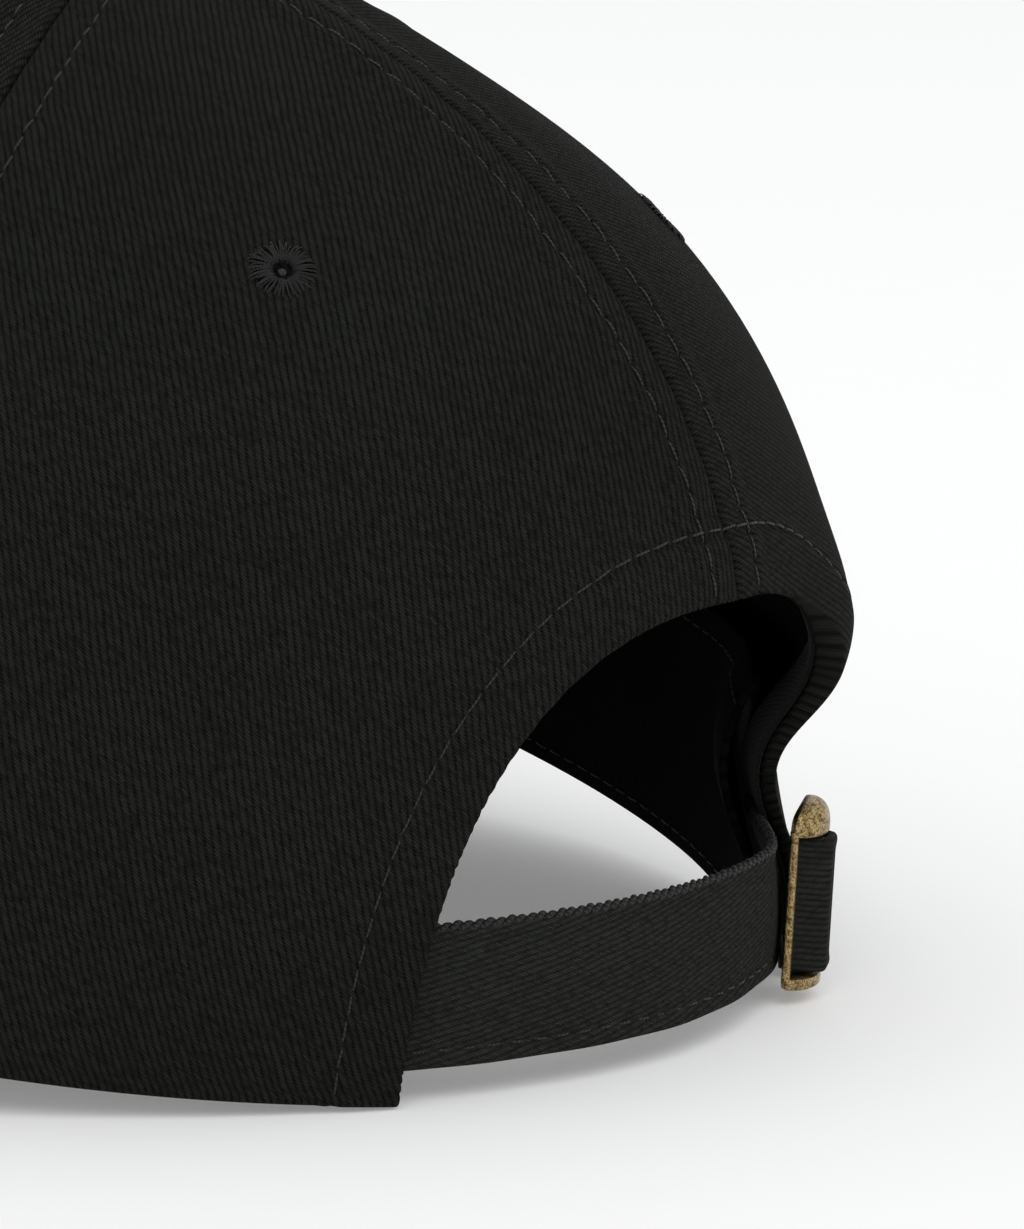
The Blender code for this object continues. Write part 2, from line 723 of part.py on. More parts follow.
droop = visor_droop()
visor_inner, visor_outer = visor_edges(droop)
visor_width = np.linalg.norm(visor_outer - visor_inner, axis=-1)
board_end = np.maximum(1.0 - VISOR_BOARD_INSET / visor_width, 0.25)
share = np.linspace(0.0, 1.0, VISOR_ROWS)[:, None]
board_out = share * board_end
half_board = np.full(board_out.shape, 0.5 * VISOR_BOARD)
slab(
    "visor_board",
    visor_grid(droop, board_out, half_board),
    visor_grid(droop, board_out, -half_board),
    board_plastic,
)
cover_out = np.concatenate([board_out, [0.4 * board_end + 0.6], [np.ones(VISOR_COLUMNS)]])
near = np.full(board_out.shape, 0.5 * VISOR_BOARD + LAYER_GAP)
cover_near = np.concatenate(
    [near, [0.5 * near[0] + 0.5 * LAYER_GAP], [0.5 * LAYER_GAP + 0.0 * near[0]]]
)
for name, sign in (("visor_cover_top", 1.0), ("visor_cover_under", -1.0)):
    slab(
        name,
        visor_grid(droop, cover_out, sign * cover_near),
        visor_grid(droop, cover_out, sign * (cover_near + VISOR_CLOTH)),
        cloth,
    )

# The strap: its middle line in plan is an arc, drawn in at both ends to lie inside the crown

STRAP_MIDDLE_Y = RIM_HALF_LENGTH - STRAP_SET_IN
strap_rise = STRAP_MIDDLE_Y - FOOT_Y + STRAP_FOOT_SET
STRAP_ARC_RADIUS = 0.5 * (FOOT_X**2 + strap_rise**2) / strap_rise
STRAP_AXIS_Y = STRAP_MIDDLE_Y - STRAP_ARC_RADIUS
strap_middle_z = STRAP_BOTTOM + 0.5 * STRAP_WIDTH * math.cos(STRAP_LEAN)
strap_depth = layer_two + 0.5 * STRAP


def crown_radius(angle, height, depth):
    """The distance from the strap's axis to a depth inside the crown, at an angle about the axis."""
    length = np.linspace(-0.1, 0.1, 401)
    inside = on_crown(length, np.full(length.shape, height), depth)
    seen = np.arctan2(inside[:, 0], inside[:, 1] - STRAP_AXIS_Y)
    return np.interp(angle, seen, np.hypot(inside[:, 0], inside[:, 1] - STRAP_AXIS_Y))


def crown_angle(length, height, depth):
    """The angle about the strap's axis of a length along the rim."""
    inside = on_crown(np.array([length]), np.array([height]), depth)[0]
    return math.atan2(inside[0], inside[1] - STRAP_AXIS_Y)


def strap_grid(out):
    """The strap's face at a distance outside its middle."""
    end = crown_angle(ARCH_HALF_WIDTH + STRAP_TUCK, strap_middle_z, strap_depth)
    angle = np.linspace(-end, end, 37)
    grid = np.zeros((3, len(angle), 3))
    for i, across in enumerate((-0.5, 0.0, 0.5)):
        up = across * STRAP_WIDTH
        arc = STRAP_ARC_RADIUS + up * math.sin(STRAP_LEAN)
        height = strap_middle_z + up * math.cos(STRAP_LEAN)
        inside = crown_radius(angle, height, strap_depth)
        least = np.minimum(arc, inside)
        soft = np.exp(-(arc - least) / STRAP_BLEND) + np.exp(-(inside - least) / STRAP_BLEND)
        radius = least - STRAP_BLEND * np.log(soft)
        radius = radius + out * math.cos(STRAP_LEAN)
        grid[i, :, 0] = radius * np.sin(angle)
        grid[i, :, 1] = STRAP_AXIS_Y + radius * np.cos(angle)
        grid[i, :, 2] = height - out * math.sin(STRAP_LEAN)
    return grid


slab("strap", strap_grid(0.5 * STRAP), strap_grid(-0.5 * STRAP), cloth)

# The buckle, drawn about an empty on the strap's axis: x runs along the strap and y outwards

slide_axis = bpy.data.objects.new("buckle_slide_axis", None)
bpy.context.scene.collection.objects.link(slide_axis)
slide_axis.location = (0.0, STRAP_AXIS_Y, 0.0)
slide_axis.rotation_euler = (0.0, 0.0, BUCKLE_REST_ANGLE)


def buckle_place(x, y, z):
    """A point by its place along, outside and up the strap, from the strap's middle."""
    outward = STRAP_ARC_RADIUS + y * math.cos(STRAP_LEAN) + z * math.sin(STRAP_LEAN)
    height = strap_middle_z + z * math.cos(STRAP_LEAN) - y * math.sin(STRAP_LEAN)
    return np.stack(np.broadcast_arrays(x, outward, height), axis=-1)


def ride(made):
    """Hangs an object on the buckle's axis."""
    made.parent = slide_axis
    return made


def block(name, x, y, z, look):
    """A box between two values of x, y and z in the buckle's frame, with eased edges."""
    grid_x, grid_y = np.meshgrid(x, y)
    high = buckle_place(grid_x, grid_y, z[1] + 0.0 * grid_x)
    low = buckle_place(grid_x, grid_y, z[0] + 0.0 * grid_x)
    mesh = slab_mesh(name, high, low)
    shape = bmesh.new()
    shape.from_mesh(mesh)
    bmesh.ops.bevel(
        shape, geom=shape.edges[:], offset=0.25 * BAR_WIDTH, segments=1, affect="EDGES"
    )
    shape.to_mesh(mesh)
    shape.free()
    return ride(put(name, mesh, look))


half_window = 0.5 * STRAP_WIDTH + BUCKLE_CLEARANCE
half_length = 0.5 * BUCKLE_LENGTH
bight_low = 0.5 * STRAP + BUCKLE_CLEARANCE
bar_low = bight_low
bar_high = bar_low + BAR_THICKNESS
bar_root = half_window + 0.5 * END_THICKNESS


def end_mesh(name, side, dome_height):
    """A D-shaped end, flat against the strap's edge and domed outside, above or below the window."""
    count = 21
    angle = np.linspace(0.0, math.pi, count)
    arc_x = half_length * np.cos(angle)
    arc_y = bar_low + 0.5 * BAR_THICKNESS + END_BULGE * np.sin(angle)
    back_x = np.linspace(-half_length, half_length, 9)[1:-1]
    outline_x = np.concatenate([arc_x, back_x])
    outline_y = np.concatenate([arc_y, np.full(back_x.shape, bar_low)])
    centre_y = bar_low + 0.5 * END_BULGE
    points = [buckle_place(0.0, centre_y, side * half_window)]
    rings = []
    for scale, rise in (
        (1.0, 0.0),
        (1.0, 0.55 * END_THICKNESS),
        (0.96, END_THICKNESS),
        (0.80, END_THICKNESS + 0.45 * dome_height),
        (0.50, END_THICKNESS + 0.84 * dome_height),
        (0.22, END_THICKNESS + 0.98 * dome_height),
    ):
        x = scale * outline_x
        y = centre_y + scale * (outline_y - centre_y)
        ring = buckle_place(x, y, side * (half_window + rise))
        rings.append(list(range(len(points), len(points) + len(ring))))
        points.extend(ring)
    points.append(buckle_place(0.0, centre_y, side * (half_window + END_THICKNESS + dome_height)))
    faces = []
    size = len(outline_x)
    for k in range(size):
        n = (k + 1) % size
        faces.append((0, rings[0][n], rings[0][k]))
        for low, high in zip(rings, rings[1:]):
            faces.append((low[k], low[n], high[n], high[k]))
        faces.append((rings[-1][k], rings[-1][n], len(points) - 1))
    return mesh_of(name, points, faces)


buckle_frame = block(
    "buckle_frame",
    (half_length - BAR_WIDTH, half_length),
    (bar_low, bar_high),
    (-bar_root, bar_root),
    brass,
)
far_bar = block(
    "buckle_far_bar",
    (-half_length, BAR_WIDTH - half_length),
    (bar_low, bar_high),
    (-bar_root, bar_root),
    brass,
)
boolean(buckle_frame, far_bar, "UNION")
for name, side, dome_height in (
    ("buckle_top_end", 1.0, TOP_END_DOME),
    ("buckle_bottom_end", -1.0, BOTTOM_END_DOME),
):
    boolean(buckle_frame, ride(put(name, end_mesh(name, side, dome_height), brass)), "UNION")

pin_y = bight_low + BIGHT_RISE - BUCKLE_CLEARANCE - PIN_RADIUS
pin_half = half_window + PIN_SOCKET_DEPTH - BUCKLE_CLEARANCE


def pin_place(x, y, height):
    return buckle_place(x, pin_y + y, height)


pin_profile = [(0.0, pin_half), (PIN_RADIUS, pin_half), (PIN_RADIUS, -pin_half), (0.0, -pin_half)]
ride(put("buckle_pin", turned_mesh("buckle_pin", pin_profile, pin_place, 16), brass))
socket_radius = PIN_RADIUS + BUCKLE_CLEARANCE
for name, side in (("top_pin_socket", 1.0), ("bottom_pin_socket", -1.0)):
    socket_profile = [
        (0.0, side * (half_window + PIN_SOCKET_DEPTH)),
        (socket_radius, side * (half_window + PIN_SOCKET_DEPTH)),
        (socket_radius, side * (half_window - 0.002)),
        (0.0, side * (half_window - 0.002)),
    ]
    socket = turned_mesh(name, socket_profile, pin_place, 16)
    boolean(buckle_frame, ride(put(name, socket, brass)), "DIFFERENCE")

# The bight: the strap's folded end, up from beside one bar, over the pin and down beside the other

bight_room = half_length - BAR_WIDTH - BUCKLE_CLEARANCE
bight_x = np.linspace(-bight_room, bight_room, 21)
climb = np.clip((bight_room - 0.5 * BIGHT - np.abs(bight_x)) / (0.55 * bight_room), 0.0, 1.0)
climb = climb**2 * (3.0 - 2.0 * climb)
bight_middle = bight_low + 0.5 * BIGHT + BIGHT_RISE * climb
slope_y = np.gradient(bight_middle, bight_x)
lean_x = -slope_y / np.hypot(1.0, slope_y)
lean_y = 1.0 / np.hypot(1.0, slope_y)


def bight_grid(out):
    """The bight's face at a distance outside its middle line, from edge to edge of the strap."""
    x = bight_x + out * lean_x
    y = bight_middle + out * lean_y
    up = np.array([-0.5, 0.0, 0.5])[:, None] * STRAP_WIDTH
    return buckle_place(x + 0.0 * up, y + 0.0 * up, up + 0.0 * x)


ride(slab("strap_bight", bight_grid(0.5 * BIGHT), bight_grid(-0.5 * BIGHT), cloth))

# The origin moves to the middle of the footprint

standing = [made for made in bpy.context.scene.objects if made.type == "MESH" and not made.hide_render]
corner_y = []
for made in standing:
    if made.parent is None:
        corner_y += [vertex.co.y for vertex in made.data.vertices]
shift = -0.5 * (min(corner_y) + max(corner_y))
for made in bpy.context.scene.objects:
    if made.parent is None:
        made.location.y += shift
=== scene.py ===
# %% [markdown]
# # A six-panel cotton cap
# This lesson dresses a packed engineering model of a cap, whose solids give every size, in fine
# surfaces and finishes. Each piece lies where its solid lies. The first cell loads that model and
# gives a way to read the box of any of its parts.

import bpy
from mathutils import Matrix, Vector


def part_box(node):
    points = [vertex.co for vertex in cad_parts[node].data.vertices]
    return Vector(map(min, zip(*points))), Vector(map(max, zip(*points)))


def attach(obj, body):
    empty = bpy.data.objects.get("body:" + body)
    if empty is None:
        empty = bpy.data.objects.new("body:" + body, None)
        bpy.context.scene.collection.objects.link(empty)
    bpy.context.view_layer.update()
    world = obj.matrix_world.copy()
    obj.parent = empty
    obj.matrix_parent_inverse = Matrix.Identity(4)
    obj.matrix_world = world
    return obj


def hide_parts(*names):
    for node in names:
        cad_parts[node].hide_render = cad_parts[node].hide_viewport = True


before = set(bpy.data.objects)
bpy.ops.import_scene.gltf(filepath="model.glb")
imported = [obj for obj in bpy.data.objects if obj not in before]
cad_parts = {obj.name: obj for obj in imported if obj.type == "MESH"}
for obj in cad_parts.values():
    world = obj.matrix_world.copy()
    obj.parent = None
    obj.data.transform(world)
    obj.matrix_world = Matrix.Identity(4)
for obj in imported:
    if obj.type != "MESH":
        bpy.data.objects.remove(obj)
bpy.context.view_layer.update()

# %% Tools
import math

import bpy
import numpy as np
from mathutils import Matrix

chance = np.random.default_rng(7)
scene = bpy.context.scene
scene.view_settings.view_transform = "Standard"
print("Blender", bpy.app.version_string, "view", scene.view_settings.view_transform)

# %% [markdown]
# ## Camera
# The camera stands off the wearer's left shoulder, behind the cap and a little above the table, with a
# long lens that flattens the view. Its axes come from its bearing, its height angle and a small roll,
# so the three columns of its matrix are its right, its up and its back.

# %% Camera
EYE = np.array([0.48065, 0.45879, 0.14992])
BEARING, RISE, ROLL = np.radians([125.878, 10.037, 1.125])
SENSOR, LENS = 36.0, 164.0797

back = np.array([math.sin(BEARING) * math.cos(RISE), -math.cos(BEARING) * math.cos(RISE), math.sin(RISE)])
level = np.array([math.cos(BEARING), math.sin(BEARING), 0.0])
over = np.cross(back, level)
right = math.cos(ROLL) * level + math.sin(ROLL) * over
above = math.cos(ROLL) * over - math.sin(ROLL) * level

camera = bpy.data.objects.new("camera", bpy.data.cameras.new("camera"))
scene.collection.objects.link(camera)
turned = np.eye(4)
turned[:3, 0], turned[:3, 1], turned[:3, 2], turned[:3, 3] = right, above, back, EYE
camera.matrix_world = Matrix(turned.tolist())
camera.data.sensor_width = SENSOR
camera.data.lens = LENS
camera.data.clip_start, camera.data.clip_end = 0.02, 60.0
scene.camera = camera
print("lens", round(camera.data.lens, 1), "mm")

# %% [markdown]
# ## Materials as formulas
# A procedural material is a sum, so it reads best as one. The class below wraps a node's socket, and
# arithmetic on it adds Math nodes. Every other node comes from its one method, which takes the kind of
# node, its settings, and the values or links of its sockets.

# %% A socket that does arithmetic
class Wire:
    """A socket of a material. Adding, subtracting, multiplying or dividing adds a Math node."""

    def __init__(self, tree, socket=None):
        self.tree, self.socket = tree, socket

    def node(self, kind, settings, sockets, out=0):
        """A node with its settings set first, then its sockets. A tuple for out gives several."""
        made = self.tree.nodes.new(kind)
        for key, value in settings.items():
            setattr(made, key, value)
        for key, value in sockets.items():
            if isinstance(value, Wire):
                self.tree.links.new(value.socket, made.inputs[key])
            else:
                made.inputs[key].default_value = value
        if isinstance(out, tuple):
            return [Wire(self.tree, made.outputs[k]) for k in out]
        return Wire(self.tree, made.outputs[out])

    def math(self, operation, *values):
        return self.node("ShaderNodeMath", {"operation": operation}, dict(enumerate(values)))

    def __add__(self, other):
        return self.math("ADD", self, other)

    def __sub__(self, other):
        return self.math("SUBTRACT", self, other)

    def __rsub__(self, other):
        return self.math("SUBTRACT", other, self)

    def __mul__(self, other):
        return self.math("MULTIPLY", self, other)

    def __truediv__(self, other):
        return self.math("DIVIDE", self, other)

    __radd__ = __add__
    __rmul__ = __mul__

    def into(self, shader, name):
        self.tree.links.new(self.socket, shader.inputs[name])


print("sums for sockets:", Wire.__name__)

# %% Steps, tints and a new look
def between(value, low, high):
    """0 below low, 1 above high, and smooth in between."""
    settings = {"interpolation_type": "SMOOTHSTEP"}
    return value.node("ShaderNodeMapRange", settings, {0: value, 1: low, 2: high})


def tinted(amount, dark, light):
    """A colour that goes from dark to light as the amount goes from 0 to 1."""
    settings = {"data_type": "RGBA"}
    sockets = {0: amount, 6: (*dark, 1.0), 7: (*light, 1.0)}
    return amount.node("ShaderNodeMix", settings, sockets, out=2)


def new_look(name):
    """A material, a wrapper on its node tree, and its Principled shader."""
    made = bpy.data.materials.new(name)
    made.use_nodes = True
    return made, Wire(made.node_tree), made.node_tree.nodes["Principled BSDF"]


print("looks so far", len(bpy.data.materials))

# %% [markdown]
# ## Cotton twill
# In a twill each warp thread passes over three weft threads and under one, and its neighbour does the
# same one weft later. The steps line up as slanting ribs, the wales. Each piece carries its cloth
# coordinates in millimetres in a map named cloth: the first number counts across the warp threads and
# the second along them. So one formula weaves every piece, at the same scale, whatever its shape.

# %% Weaving
FLOAT_SHARE, FLOAT_ROUND = 0.78, 0.55
THREAD_WANDER, STEP_WANDER = 0.30, 0.55


def cloth_place(start):
    """The two cloth coordinates, in millimetres, and the map that they come from."""
    place = start.node("ShaderNodeUVMap", {"uv_map": "cloth"}, {})
    return place.node("ShaderNodeSeparateXYZ", {}, {0: place}, out=(0, 1)) + [place]


def noise(place, scale, detail=2.0):
    """Soft noise from 0 to 1 with this many features to each millimetre."""
    sockets = {"Vector": place, "Scale": scale, "Detail": detail}
    return place.node("ShaderNodeTexNoise", {}, sockets)


def twill_height(start, warp, weft):
    """Height of a twill, 0 to 1: sin(pi t / 0.78)^0.55 (1 - 3 c^2) for the float, where t is the share
    of the four-thread step and c the distance from the thread's middle. Also the float's own random
    number, and the map."""
    across, along, place = cloth_place(start)
    across = across + THREAD_WANDER * (noise(place, 0.35) - 0.5)
    along = along + STEP_WANDER * (noise(place, 0.22) - 0.5)
    count = (across / warp).math("FLOOR", across / warp)
    middle = across / warp - count - 0.5
    step = along / (4.0 * weft) + 0.25 * count
    turn = step.math("FRACT", step)
    swell = turn.math("SINE", turn.math("MINIMUM", turn / FLOAT_SHARE, 1.0) * math.pi)
    swell = swell.math("POWER", swell.math("MAXIMUM", swell, 0.0), FLOAT_ROUND)
    height = swell * (1.0 - 3.0 * middle * middle)
    number = step.math("FLOOR", step)
    seed = start.node("ShaderNodeCombineXYZ", {}, {0: count, 1: number})
    lot = start.node("ShaderNodeTexWhiteNoise", {"noise_dimensions": "2D"}, {"Vector": seed})
    return height, lot, place


print("a float covers", round(100 * FLOAT_SHARE), "% of its step")

# %% Cotton cloth
CLOTH_BUMP, CLOTH_GLOSS = 0.00015, 0.03


def cotton(name, dark, light, warp=0.235, weft=0.35):
    """Dyed cotton twill with painted shade: dark in the hollows between the floats, lighter on them,
    with thread to thread variation, slow cloudy fading, patches worn flat and a rare pale fibre caught
    in the weave."""
    made, start, shader = new_look(name)
    height, lot, place = twill_height(start, warp, weft)
    cloud = noise(place, 0.035, 3.0)
    fuzz = noise(place, 3.2, 3.0)
    lint = noise(place, 1.1, 4.0)
    fleck = between(lot, 0.9935, 0.9965) * between(height, 0.35, 0.75)
    worn = between(lint, 0.30, 0.75)
    # Painted shade: the colour follows the weave's height, so the hollows between the floats come out darker.
    thread = height * (0.50 + 0.80 * lot) * (0.55 + 0.9 * fuzz)
    shade = (thread * (1.0 - 0.45 * worn) + 0.30 * worn) * (0.78 + 0.44 * cloud) + 1.6 * fleck
    tinted(shade, dark, light).into(shader, "Base Color")
    (0.93 - 0.08 * height).into(shader, "Roughness")
    raised = height * (1.0 - 0.4 * worn) + 0.55 * fuzz
    sockets = {"Strength": 1.0, "Distance": CLOTH_BUMP, "Height": raised}
    start.node("ShaderNodeBump", {}, sockets).into(shader, "Normal")
    shader.inputs["Specular IOR Level"].default_value = CLOTH_GLOSS
    return made


panel_twill = cotton("panel_twill", (0.0032, 0.0034, 0.0029), (0.0205, 0.0219, 0.0190))
# Painted light: the strap's cloth is lighter than the panels' to stand in for light bounced up from the table
# and the cloth's sheen.
strap_twill_painted_light = cotton("strap_twill_painted_light", (0.0078, 0.0083, 0.0073), (0.0328, 0.0350, 0.0311), 0.20, 0.32)
# Painted shade: the cloth inside the crown is darker than the panels' to stand in for the shade there.
inner_twill_painted_shade = cotton("inner_twill_painted_shade", (0.0010, 0.0010, 0.0010), (0.0050, 0.0052, 0.0048))
print("twills", panel_twill.name, strap_twill_painted_light.name, inner_twill_painted_shade.name)

# %% [markdown]
# ## Tape and thread
# The seams inside are bound with a plain-woven tape, one over and one under. Sewing thread is two plies
# twisted together, so its surface has slanting grooves. Its own map holds the place along the stitch in
# millimetres and the turn about it, and the twist is a sine of their sum.

# %% Tape and thread
TAPE_PITCH = 0.34


def plain_tape(name, dark, light):
    """Plain weave: |sin(pi x / p)| and |sin(pi y / p)|, swapped from one crossing to the next."""
    made, start, shader = new_look(name)
    across, along, place = cloth_place(start)
    ribs = []
    for value in (across, along):
        wave = value.math("SINE", value * (math.pi / TAPE_PITCH))
        ribs.append(wave.math("ABSOLUTE", wave))
    checks = across.math("SINE", (across + along) * (math.pi / TAPE_PITCH))
    choice = between(checks, -0.2, 0.2)
    height = ribs[0] * choice + ribs[1] * (1.0 - choice)
    # Painted shade: the colour follows the weave's height, darker in the hollows between the threads.
    tinted(height * (0.6 + 0.8 * noise(place, 0.5)), dark, light).into(shader, "Base Color")
    (0.92 - 0.1 * height).into(shader, "Roughness")
    sockets = {"Distance": 0.00008, "Height": height}
    start.node("ShaderNodeBump", {}, sockets).into(shader, "Normal")
    shader.inputs["Specular IOR Level"].default_value = 0.12
    shader.inputs["Sheen Weight"].default_value = 0.06
    return made


def twisted_thread(name, dark, light, lay=0.55, sheen=0.05):
    """Two plies: sin(2 pi (x / lay + turn)) gives the groove between them."""
    made, start, shader = new_look(name)
    along, turn, place = cloth_place(start)
    wave = (along / lay + turn) * (2.0 * math.pi)
    height = 0.5 + 0.5 * wave.math("SINE", wave)
    hair = noise(place, 6.0)
    # Painted shade: the colour follows the height, darker in the groove between the plies.
    tinted(height * (0.5 + hair), dark, light).into(shader, "Base Color")
    (0.75 - 0.2 * height).into(shader, "Roughness")
    sockets = {"Distance": 0.00007, "Height": height + 0.3 * hair}
    start.node("ShaderNodeBump", {}, sockets).into(shader, "Normal")
    shader.inputs["Specular IOR Level"].default_value = 0.30
    shader.inputs["Sheen Weight"].default_value = sheen
    return made


tape_cloth = plain_tape("tape_cloth", (0.0030, 0.0030, 0.0030), (0.0120, 0.0120, 0.0118))
sewing_thread = twisted_thread("sewing_thread", (0.0040, 0.0042, 0.0038), (0.022, 0.023, 0.021))
strap_thread = twisted_thread("strap_thread", (0.0035, 0.0037, 0.0034), (0.021, 0.022, 0.020))
selvedge_thread = twisted_thread(
    "selvedge_thread", (0.0035, 0.0037, 0.0033), (0.0165, 0.0175, 0.0155), lay=0.5, sheen=0.03
)
eyelet_thread = twisted_thread(
    "eyelet_thread", (0.0022, 0.0024, 0.0021), (0.0275, 0.0292, 0.0262), lay=0.35, sheen=0.02
)
print("tape and threads", tape_cloth.name, sewing_thread.name, strap_thread.name)

# %% [markdown]
# ## Brass, steel, board and felt
# Antiqued brass is dipped dark and then polished, so the dark stays in pits and comes off the raised
# parts. Noise decides where it stays, and it drives colour and roughness together. The hidden steel,
# board and felt are simpler, but each has its own grain.

# %% Metals and fillings
def antique(name):
    """Brass whose dark patina stays in fine speckles and slow cloudy areas."""
    made, start, shader = new_look(name)
    place = start.node("ShaderNodeTexCoord", {}, {}, out=3)
    coarse = noise(place, 1300.0, 4.0)
    fine = noise(place, 4200.0, 3.0)
    worn = between(0.35 * coarse + 0.65 * fine, 0.38, 0.62)
    tinted(worn, (0.090, 0.060, 0.024), (0.47, 0.335, 0.155)).into(shader, "Base Color")
    (0.42 - 0.14 * worn).into(shader, "Roughness")
    sockets = {"Distance": 0.00002, "Height": worn + 0.4 * fine}
    start.node("ShaderNodeBump", {}, sockets).into(shader, "Normal")
    shader.inputs["Metallic"].default_value = 1.0
    return made


def filling(name, dark, light, scale, roughness, metallic=0.0):
    """A plain stuff with a grain at one scale."""
    made, start, shader = new_look(name)
    place = start.node("ShaderNodeTexCoord", {}, {}, out=3)
    grain = noise(place, scale, 3.0)
    tinted(grain, dark, light).into(shader, "Base Color")
    sockets = {"Distance": 0.00005, "Height": grain}
    start.node("ShaderNodeBump", {}, sockets).into(shader, "Normal")
    shader.inputs["Roughness"].default_value = roughness
    shader.inputs["Metallic"].default_value = metallic
    return made


brass = antique("antique_brass")
steel = filling("pressed_steel", (0.30, 0.30, 0.31), (0.55, 0.55, 0.56), 1500.0, 0.38, 1.0)
board = filling("visor_board", (0.006, 0.006, 0.006), (0.012, 0.012, 0.012), 400.0, 0.62)
felt = filling("felt", (0.07, 0.07, 0.068), (0.17, 0.17, 0.165), 2500.0, 0.95)
print("materials", len(bpy.data.materials))

# %% [markdown]
# ## Making a piece
# Every cloth piece is a closed shell between two grids of points, one for each face, joined round their
# rims. The whole mesh is worked out as arrays. If its signed volume comes out negative, it is inside
# out, and all its faces are turned round at once.

# %% Shells
def volume_of(points, faces):
    """A sixth of the sum of the triple products of a closed mesh's triangles, which is its volume."""
    corner = points[faces]
    total = 0.0
    for k in range(1, faces.shape[1] - 1):
        total += np.einsum("ij,ij->", corner[:, 0], np.cross(corner[:, k], corner[:, k + 1]))
    return total / 6.0


def make(name, points, faces, cloth, look, slot, body="cap", stands_for=()):
    """A piece at the origin from points and faces, with its cloth map, that rides on a body."""
    if volume_of(points, faces) < 0.0:
        faces = faces[:, ::-1]
    mesh = bpy.data.meshes.new(name)
    mesh.from_pydata(points.tolist(), [], faces.tolist())
    layer = mesh.uv_layers.new(name="cloth")
    layer.data.foreach_set("uv", cloth[faces.ravel()].astype(np.float32).ravel())
    mesh.materials.append(look)
    mesh.shade_smooth()
    piece = bpy.data.objects.new(name, mesh)
    scene.collection.objects.link(piece)
    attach(piece, body)
    if stands_for:
        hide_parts(*stands_for)
    return piece


def shell(name, outer, inner, cloth, look, slot, body="cap", stands_for=()):
    """The closed solid between two grids of points of one shape, rows by columns."""
    rows, columns = outer.shape[:2]
    count = rows * columns
    index = np.arange(count).reshape(rows, columns)
    corners = (index[:-1, :-1], index[:-1, 1:], index[1:, 1:], index[1:, :-1])
    front = np.stack(corners, axis=-1).reshape(-1, 4)
    rim = np.concatenate([index[0, :-1], index[:-1, -1], index[-1, :0:-1], index[:0:-1, 0]])
    after = np.roll(rim, -1)
    wall = np.stack([rim, rim + count, after + count, after], axis=-1)
    faces = np.concatenate([front, front[:, ::-1] + count, wall])
    points = np.concatenate([outer.reshape(-1, 3), inner.reshape(-1, 3)])
    both = np.concatenate([cloth.reshape(-1, 2)] * 2)
    return make(name, points, faces, both, look, slot, body, stands_for)


tetrahedron = np.concatenate([np.zeros((1, 3)), np.eye(3)])
sides = np.array([[0, 2, 1], [0, 1, 3], [0, 3, 2], [1, 2, 3]])
print("a corner of a unit cube has volume", round(float(volume_of(tetrahedron, sides)), 4))

# %% [markdown]
# ## Stitches
# A row of stitches is one mesh of many small beads, each a capsule whose ends dive into the cloth. One
# template of 34 faces is carried to every stitch by three directions: along the seam, across it and
# out of the cloth. A little random turn and length keeps the row from looking printed.

# %% One stitch
BEAD_RINGS, BEAD_SIDES = 6, 6
BEAD_LIFT, BEAD_DIVE = 0.00008, 0.00030
bead_station = np.cos(np.linspace(0.0, math.pi, BEAD_RINGS + 2))[1:-1]
bead_turn = np.linspace(0.0, 2.0 * math.pi, BEAD_SIDES, endpoint=False)
bead_index = np.arange(BEAD_RINGS * BEAD_SIDES).reshape(BEAD_RINGS, BEAD_SIDES)
bead_next = np.roll(bead_index, -1, axis=1)
bead_quads = np.stack([bead_index[:-1], bead_next[:-1], bead_next[1:], bead_index[1:]], axis=-1)
bead_quads = bead_quads.reshape(-1, 4)
bead_ends = [bead_index[0, [0, 1, 2, 3]], bead_index[0, [0, 3, 4, 5]]]
bead_ends += [bead_index[-1, [3, 2, 1, 0]], bead_index[-1, [5, 4, 3, 0]]]
bead_faces = np.concatenate([bead_quads, np.array(bead_ends)[:, ::-1]])
print("one stitch has", len(bead_faces), "faces")

# %% Rows of stitches
def evenly(path, normals, pitch):
    """Places every pitch along a path of points: (middle, direction, normal) of each stitch."""
    length = np.concatenate([[0.0], np.cumsum(np.linalg.norm(np.diff(path, axis=0), axis=1))])
    count = max(1, int(length[-1] / pitch))
    middle = (np.arange(count) + 0.5) * length[-1] / count
    spots = [np.stack([np.interp(middle + shift, length, path[:, k]) for k in range(3)], axis=-1)
             for shift in (-0.25 * pitch, 0.0, 0.25 * pitch)]
    normal = np.stack([np.interp(middle, length, normals[:, k]) for k in range(3)], axis=-1)
    along = spots[2] - spots[0]
    along /= np.linalg.norm(along, axis=1, keepdims=True)
    normal -= np.sum(normal * along, axis=1, keepdims=True) * along
    return spots[1], along, normal / np.linalg.norm(normal, axis=1, keepdims=True)


def beads(spots, along, normal, length=0.0028, radius=0.00013):
    """Points of every bead: m + x a + r cos(t) s + (r sin(t) + lift - dive c^4) n, with x along it and c
    its share of the half length."""
    count = len(spots)
    lean = chance.normal(0.0, 0.05, count)[:, None]
    side = np.cross(normal, along)
    along = along + lean * side
    size = length * (1.0 + chance.normal(0.0, 0.04, count))[:, None, None]
    x = 0.5 * size * bead_station[None, :, None] + 0.0 * bead_turn
    girth = radius * (1.0 - np.abs(bead_station) ** 4) ** 0.5
    y = girth[None, :, None] * np.cos(bead_turn) + 0.0 * x
    z = girth[None, :, None] * np.sin(bead_turn) + BEAD_LIFT + 0.0 * x
    z = z - BEAD_DIVE * bead_station[None, :, None] ** 4
    points = spots[:, None, None] + x[..., None] * along[:, None, None]
    points = points + y[..., None] * side[:, None, None] + z[..., None] * normal[:, None, None]
    run = 1000.0 * x + 7.0 * np.arange(count)[:, None, None]
    cloth = np.stack([run, bead_turn / 6.2832 + 0.0 * x], axis=-1)
    return points.reshape(-1, 3), cloth.reshape(-1, 2)


